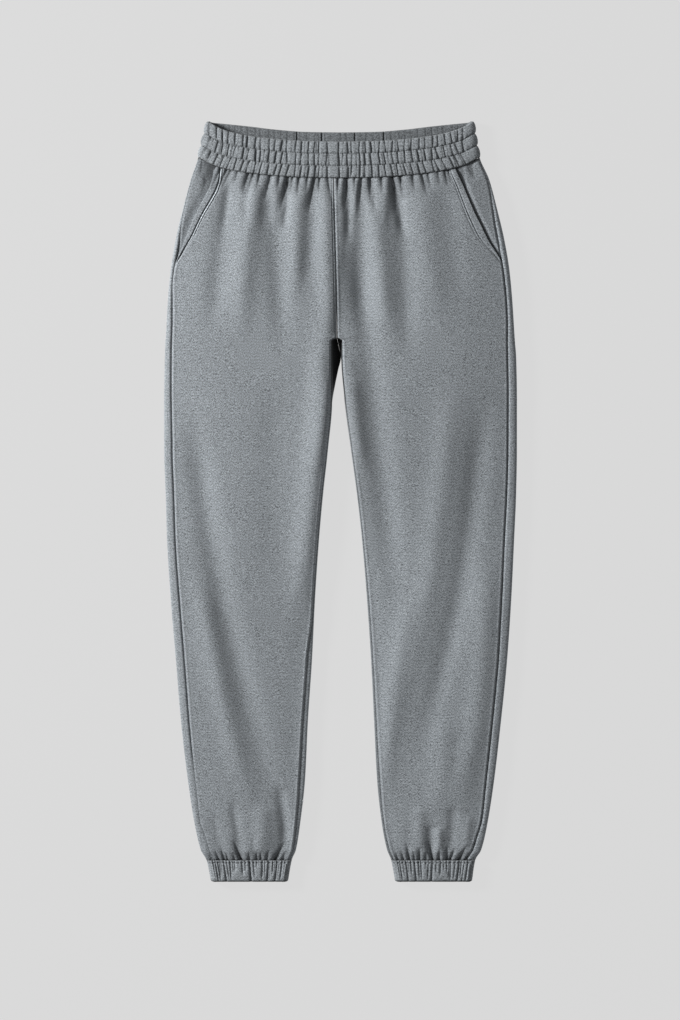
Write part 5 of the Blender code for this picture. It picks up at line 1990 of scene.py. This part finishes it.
@dataclass
class Cuff(Paired):
    """An ankle's elastic casing: a closed flattened ring, ribbed over its top and its
    underside, with a row of stitches below its seam."""

    cloth: float = 0.0034
    top_columns: int = 190
    turn_columns: int = 20
    steps: int = 40
    rib_depth: float = 0.0027
    rib_fade: float = 0.009
    valley: Valley = Valley(1.3, 2.6, (0.95, 0.34))
    rib_seed: int = 40
    rib_shares: Two = (0.6, 1.2)
    slight_ranges: tuple[Two, ...] = ((0.35, 0.6), (0.6, 1.1), (0.4, 0.9))
    wide_rib: float = 0.0054  # only between creases further apart does a slight one lie
    under_share: float = 0.35
    # painted shade in the rib creases, at the seam, at the hem and along the stitches
    crease_painted_shade: float = 0.34
    seam_painted_shade: float = 0.60
    hem_painted_shade: float = 0.92
    tone: float = 1.14
    stitch_painted_shade: float = 0.75
    jitter: float = 0.0022
    puff: float = 0.0010
    puff_power: float = 0.6
    nose: float = 0.0013
    under_nose: float = 0.8
    ends_share: float = 0.02
    stitch_down: float = 0.0031
    stitch_waves: Two = (0.4, 0.5)  # in the row's depth and in its painted shade
    seam_reach: float = 0.03
    hem_reach: float = 0.085
    # painted shade on the inner ring
    back_shade: float = 0.7
    bare_columns: int = 3  # at each end of the row of stitches
    corner: float = 0.0022  # the hem's corners are rounded by this
    corner_turn: float = 0.96
    stitch: Topstitch = Topstitch(0.0012, 0.0009, 0.0052, 0.0032, 0.00042)
    zigzag: float = 0.0010
    cut: ClassVar[Cut] = Cut(0.300, 0.0300, 0.0090, "gathered")

    def section(self, share: Array, pull: float, columns: int) -> Array:
        """The plain ring: straight over the top, half a circle down, straight below, and
        half a circle up again.

        Args:
            share: Shares of the height, as a column.
            pull: How far inside the outer ring it runs.
            columns: Points along its top; the turns take the same share of theirs.

        Returns:
            Points, row by row.
        """
        lie, sign = self.lie, self.side.value
        turns = self.turn_columns * columns // self.top_columns
        down = lie.cuff_top + share * lie.cuff_height
        outer, inner = lie.outer_edge(self.side, down), lie.inner_edge(self.side, down)
        crown = column(STATIONS, "crown", down)
        middle, half = (outer + inner) / 2, np.abs(outer - inner) / 2 - pull
        bend = crown / 2 - pull
        last = np.clip((share - 1) * lie.cuff_height / self.corner + 1, 0, 1)
        straight = half - bend - self.corner * (1 - np.sqrt(1 - self.corner_turn * last**2))
        across = np.linspace(1, -1, columns)
        angles = np.pi / 2 - np.pi * np.arange(1, turns + 1) / (turns + 1)
        top = sign * straight * across
        turn_in = -sign * (straight + bend * np.cos(angles))
        bottom = -top
        turn_out = sign * (straight + bend * np.cos(angles))
        flat = np.ones(columns)
        x = middle + np.concatenate([top, turn_in, bottom, turn_out], axis=1)
        heights = [flat, np.sin(angles), -flat, -np.sin(angles)]
        z = crown / 2 + bend * np.concatenate(heights)
        return lie.points(x, np.broadcast_to(down, x.shape), z)

    def ribs(self, seed: int) -> list[Crease]:
        """The creases between the ribs of one face: the table's, run either way round and
        each moved a little, and a slight one between any two that lie far apart.

        Args:
            seed: Which face of which cuff this is.

        Returns:
            Creases, with places from the cuff's middle.
        """
        chance = np.random.default_rng(self.rib_seed + seed)
        turn = -1 if seed else 1
        table = []
        for rib in CUFF_RIBS:
            shift = self.jitter * chance.uniform(-1, 1) if seed else 0.0
            depth = rib.depth * (chance.uniform(*self.rib_shares) if seed else 1.0)
            table.append(rib._replace(x=turn * rib.x + shift, lean=turn * rib.lean, depth=depth))
        between = []
        for rib, other in zip(table, table[1:]):
            if abs(other.x - rib.x) > self.wide_rib:
                place, reach, depth = (chance.uniform(*ends) for ends in self.slight_ranges)
                x = rib.x + (other.x - rib.x) * place
                slight = rib._replace(x=x, reach=rib.reach * reach, depth=rib.depth * depth)
                between.append(slight)
        return table + between

    def rib_depths(self, x: Array, share: Array, seed: int) -> Array:
        """How deep the creases between the ribs cut: narrow valleys, each beside a broad
        one, which fade out where their reach ends.

        Args:
            x: Places across, from the cuff's middle.
            share: Shares of the height, as a column.
            seed: Which face of which cuff this is.

        Returns:
            Depths.
        """
        down = share * self.lie.cuff_height
        total = np.zeros(x.shape)
        for rib in self.ribs(seed):
            path = rib.x + rib.lean * down
            fade = smooth((rib.reach - down) / self.rib_fade + 0.5)
            total = total + rib.depth * fade * self.valley.depths(x, path, rib.width)
        return total

    def puffed(self, share: Array) -> Array:
        """How far the cuff stands out between its seam and its hem."""
        return self.puff * np.sin(np.pi * share) ** self.puff_power

    def ring(self) -> tuple[Array, Array]:
        """The ribbed outer ring and the plain inner one, from the seam to the hem.

        Returns:
            Points of both, row by row.
        """
        lie = self.lie
        share = np.linspace(0, 1, self.steps + 1)[:, None]
        outer = self.section(share, 0.0, self.top_columns)
        n, turns = self.top_columns, self.turn_columns
        top, below = slice(0, n), slice(n + turns, 2 * n + turns)
        middle = outer[..., 0].mean(axis=1, keepdims=True)
        x = outer[..., 0] - middle
        ends = smooth(np.linspace(0, 1, n) / self.ends_share)
        ends = ends * ends[::-1]
        down = share * lie.cuff_height
        row = self.stitch.groove(down - self.stitch_down)
        row = row * self.stitch.dots(x, self.stitch_waves[0])
        drop = nose(down, self.nose) + nose(lie.cuff_height - down, self.nose)
        seed = 2 if self.side is Side.LEFT else 0
        face = outer.copy()
        ribs = self.rib_depths(x[:, top], share, seed)
        face[:, top, 2] += self.puffed(share) - ends * ribs - row[:, top] - drop
        under = self.rib_depths(x[:, below], share, seed + 1)
        face[:, below, 2] += ends * self.under_share * under + drop * self.under_nose
        inner = self.section(share[::2], self.cloth, self.top_columns // 2)
        return face, inner

    def shade(self, face: Array) -> Array:
        """The painted shade of the outer ring: in its creases, at the seam and hem, and along
        the row of stitches, all scaled by its tone.

        Args:
            face: The ring's points.

        Returns:
            Painted shade, point by point.
        """
        share = np.linspace(0, 1, self.steps + 1)[:, None]
        plain = self.section(share, 0.0, self.top_columns)
        sunk = np.abs(plain[..., 2] + self.puffed(share) - face[..., 2])
        sunk = np.clip(sunk / self.rib_depth, 0, 1)
        seam, hem = bell(share, self.seam_reach), bell(1 - share, self.hem_reach)
        ends = np.maximum(self.seam_painted_shade * seam, self.hem_painted_shade * hem)
        away = share * self.lie.cuff_height - self.stitch_down
        x = plain[..., 0] - plain[..., 0].mean(axis=1, keepdims=True)
        dots = self.stitch.dots(x, self.stitch_waves[1], np.pi / 2)
        row = self.stitch_painted_shade * dots * bell(away, self.stitch.width)
        return self.tone * (1 - np.maximum(np.maximum(self.crease_painted_shade * sunk, ends), row))

    def build(self) -> Object:
        """The cuff as a closed ring with open ends.

        Returns:
            The piece.
        """
        face, inner = self.ring()
        wall = Wall(face, inner, True, self.shade(face), self.back_shade)
        return self.sew(wall, "ankle_casing_", "cuff_", "casing")

    def stitch_line(self) -> Array:
        """Points along the row of stitches below the seam, over the top.

        Returns:
            Points along it.
        """
        face, _ = self.ring()
        share = self.stitch_down / self.lie.cuff_height
        row = share * self.steps
        low, part = int(row), row - int(row)
        top = face[:, self.bare_columns : self.top_columns - self.bare_columns]
        return top[low] * (1 - part) + top[low + 1] * part


@dataclass
class Stitches:
    """Rows of sewn thread: a short capsule for each stitch, joined into one piece."""

    finish: bpy.types.Material
    sides: int = 6
    zigzag: float = 0.0
    places: tuple[float, ...] = (-0.5, -0.38, -0.15, 0.15, 0.38, 0.5)  # in a stitch's length
    radii: tuple[float, ...] = (0.25, 0.8, 1.0, 1.0, 0.8, 0.25)  # in the thread's, as the next
    rises: tuple[float, ...] = (-0.5, -0.1, 0.25, 0.25, -0.1, -0.5)

    def capsules(self, line: Array, style: Topstitch) -> Array:
        """The stitches along one line: rings of points round each stitch's axis, small at
        both ends, with their centres sunk a little into the cloth.

        Args:
            line: Points along the groove.
            style: Pitch, length and thread.

        Returns:
            Stitches by points by x, y, z.
        """
        steps = np.linalg.norm(np.diff(line, axis=0), axis=1)
        reach = np.concatenate([[0], np.cumsum(steps)])
        centres = np.arange(style.pitch, reach[-1] - style.pitch / 2, style.pitch)
        along = np.array(self.places) * style.stitch
        radii, sink = np.array((self.radii, self.rises)) * style.thread
        at = centres[:, None] + along
        axis = np.stack([np.interp(at, reach, line[:, k]) for k in range(3)], axis=-1)
        axis[..., 2] = (axis[..., 2] + axis[..., 2].mean(axis=1, keepdims=True)) / 2 + sink
        if self.zigzag:
            turn = np.where(np.arange(len(centres)) % 2, 1, -1)[:, None]
            axis[..., 1] += self.zigzag * turn * along / style.stitch
        heading = unit(np.gradient(axis, axis=1))
        level = unit(np.cross(heading, np.array([0.0, 0.0, 1.0])))
        upward = np.cross(level, heading)
        turns = 2 * np.pi * np.arange(self.sides) / self.sides
        ring = np.cos(turns)[:, None] * level[..., None, :]
        ring = ring + np.sin(turns)[:, None] * upward[..., None, :]
        points = axis[..., None, :] + radii[:, None, None] * ring
        return points.reshape(len(centres), -1, 3)

    def build(self, name: str, rows: Sequence[tuple[Array, Topstitch]], slot: str) -> Object:
        """All the stitches of some rows as one piece.

        Args:
            name: Its name.
            rows: Each line and its style.
            slot: The record's material slot; not used.

        Returns:
            The piece.
        """
        stitches = np.concatenate([self.capsules(line, style) for line, style in rows])
        count, size = stitches.shape[:2]
        rings = size // self.sides
        grid = np.arange(size).reshape(rings, self.sides)
        quads = Wall.cells(grid, True)
        first, last = grid[0], grid[-1]
        fan = np.arange(1, self.sides - 1)
        caps = np.concatenate([
            np.stack([np.full(len(fan), first[0]), first[fan + 1], first[fan]], axis=-1),
            np.stack([np.full(len(fan), last[0]), last[fan], last[fan + 1]], axis=-1),
        ])
        shift = size * np.arange(count)[:, None, None]
        all_quads = (quads + shift).reshape(-1, 4)
        all_caps = (caps[:, ::-1] + shift).reshape(-1, 3)
        points = stitches.reshape(-1, 3)
        obj = mesh_object(name, points, all_quads, all_caps, np.ones(len(points)))
        obj.data.materials.append(self.finish)
        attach(obj, "root")
        LOG.info("%s: %d stitches", name, count)
        return obj


@dataclass(frozen=True)
class Studio:
    """A pale floor, a large soft key from beyond the wearer's right shoulder, light from all
    round, and a camera straight above."""

    lens: float = 85.0
    sensor: float = 36.0
    frame_height: float = 1.3430
    centre_x: float = -0.00066
    centre_y: float = -0.0112
    focus_height: float = 0.0065
    clip: Two = (0.05, 50.0)
    floor_size: float = 16.0
    floor_height: float = -0.0002
    floor_colour: Three = (0.03, 0.03, 0.03)
    floor_glow: float = 0.672
    key_place: Three = (-2.449, 0.891, 1.271)
    key_aim: Three = (0.0, 0.05, 0.0)
    key_size: float = 0.60
    key_power: float = 136.0
    sky: float = 0.22

    def camera(self) -> None:
        """A camera that looks straight down, as far up as its lens needs for the frame."""
        data = bpy.data.cameras.new("camera")
        data.lens, data.sensor_width = self.lens, self.sensor
        data.clip_start, data.clip_end = self.clip
        obj = linked("camera", data)
        height = self.focus_height + self.lens / self.sensor * self.frame_height
        obj.location = (self.centre_x, self.centre_y, height)
        bpy.context.scene.camera = obj

    def floor(self) -> None:
        """A flat matt floor with a slight glow of its own, which thins the shadows."""
        half, low = self.floor_size / 2, self.floor_height
        signs = ((-1, -1), (1, -1), (1, 1), (-1, 1))
        corners = np.array([(half * x, half * y, low) for x, y in signs])
        none = np.zeros((0, 3), int)
        obj = mesh_object("floor", corners, np.array([[0, 1, 2, 3]]), none, np.ones(4))
        material = bpy.data.materials.new("floor_paint")
        material.use_nodes = True
        shader = material.node_tree.nodes["Principled BSDF"]
        shader.inputs["Base Color"].default_value = (*self.floor_colour, 1)
        shader.inputs["Roughness"].default_value = 1.0
        shader.inputs["Specular IOR Level"].default_value = 0.0
        shader.inputs["Emission Color"].default_value = (1, 1, 1, 1)
        shader.inputs["Emission Strength"].default_value = self.floor_glow
        obj.data.materials.append(material)

    def lights(self) -> None:
        """The key, aimed at the hips, and an even sky."""
        data = bpy.data.lights.new("key", "AREA")
        data.shape, data.size, data.energy = "DISK", self.key_size, self.key_power
        obj = linked("key", data)
        obj.location = self.key_place
        aim = np.subtract(self.key_aim, self.key_place)
        yaw, tilt = np.arctan2(aim[1], aim[0]), np.arccos(-aim[2] / np.linalg.norm(aim))
        obj.rotation_euler = (tilt, 0.0, yaw - np.pi / 2)
        world = bpy.data.worlds.new("sky")
        world.use_nodes = True
        background = world.node_tree.nodes["Background"]
        background.inputs["Color"].default_value = (1.0, 1.0, 1.0, 1)
        background.inputs["Strength"].default_value = self.sky
        bpy.context.scene.world = world

    def build(self) -> None:
        """Sets up the floor, the lights and the camera, with plain colours on film."""
        self.floor()
        self.lights()
        self.camera()
        bpy.context.scene.view_settings.view_transform = "Standard"
        bpy.context.scene.view_settings.look = "None"


def main() -> None:
    """Builds the garment piece by piece, then the studio."""
    logging.basicConfig(level=logging.INFO, format="%(name)s: %(message)s")
    lie = Lie()
    fleece = MarlFleece("marl_fleece", colour=(0.235, 0.255, 0.272)).make()
    ribbed = MarlFleece("marl_casing", colour=(0.225, 0.243, 0.257)).make()
    thread = Thread().make()
    sewn = Stitches(thread)
    rows = []
    for side in Side:
        panel, cuff = FrontPanel(lie, fleece, side), Cuff(lie, ribbed, side)
        for piece in (panel, BackPanel(lie, fleece, side), PocketPanel(lie, fleece, side), cuff):
            piece.build()
        rows += panel.stitch_rows()
        zigzag = Stitches(thread, zigzag=cuff.zigzag)
        zigzag.build("cuff_stitches_" + side.word, [(cuff.stitch_line(), cuff.stitch)], "casing")
    casing = Casing(lie, ribbed)
    casing.build_front()
    casing.build_back()
    sewn.build("panel_stitches", rows, "fleece")
    lines = [(line, casing.stitch) for line in casing.stitch_lines()]
    sewn.build("casing_stitches", lines, "casing")
    Studio().build()


if __name__ == "__main__":
    main()
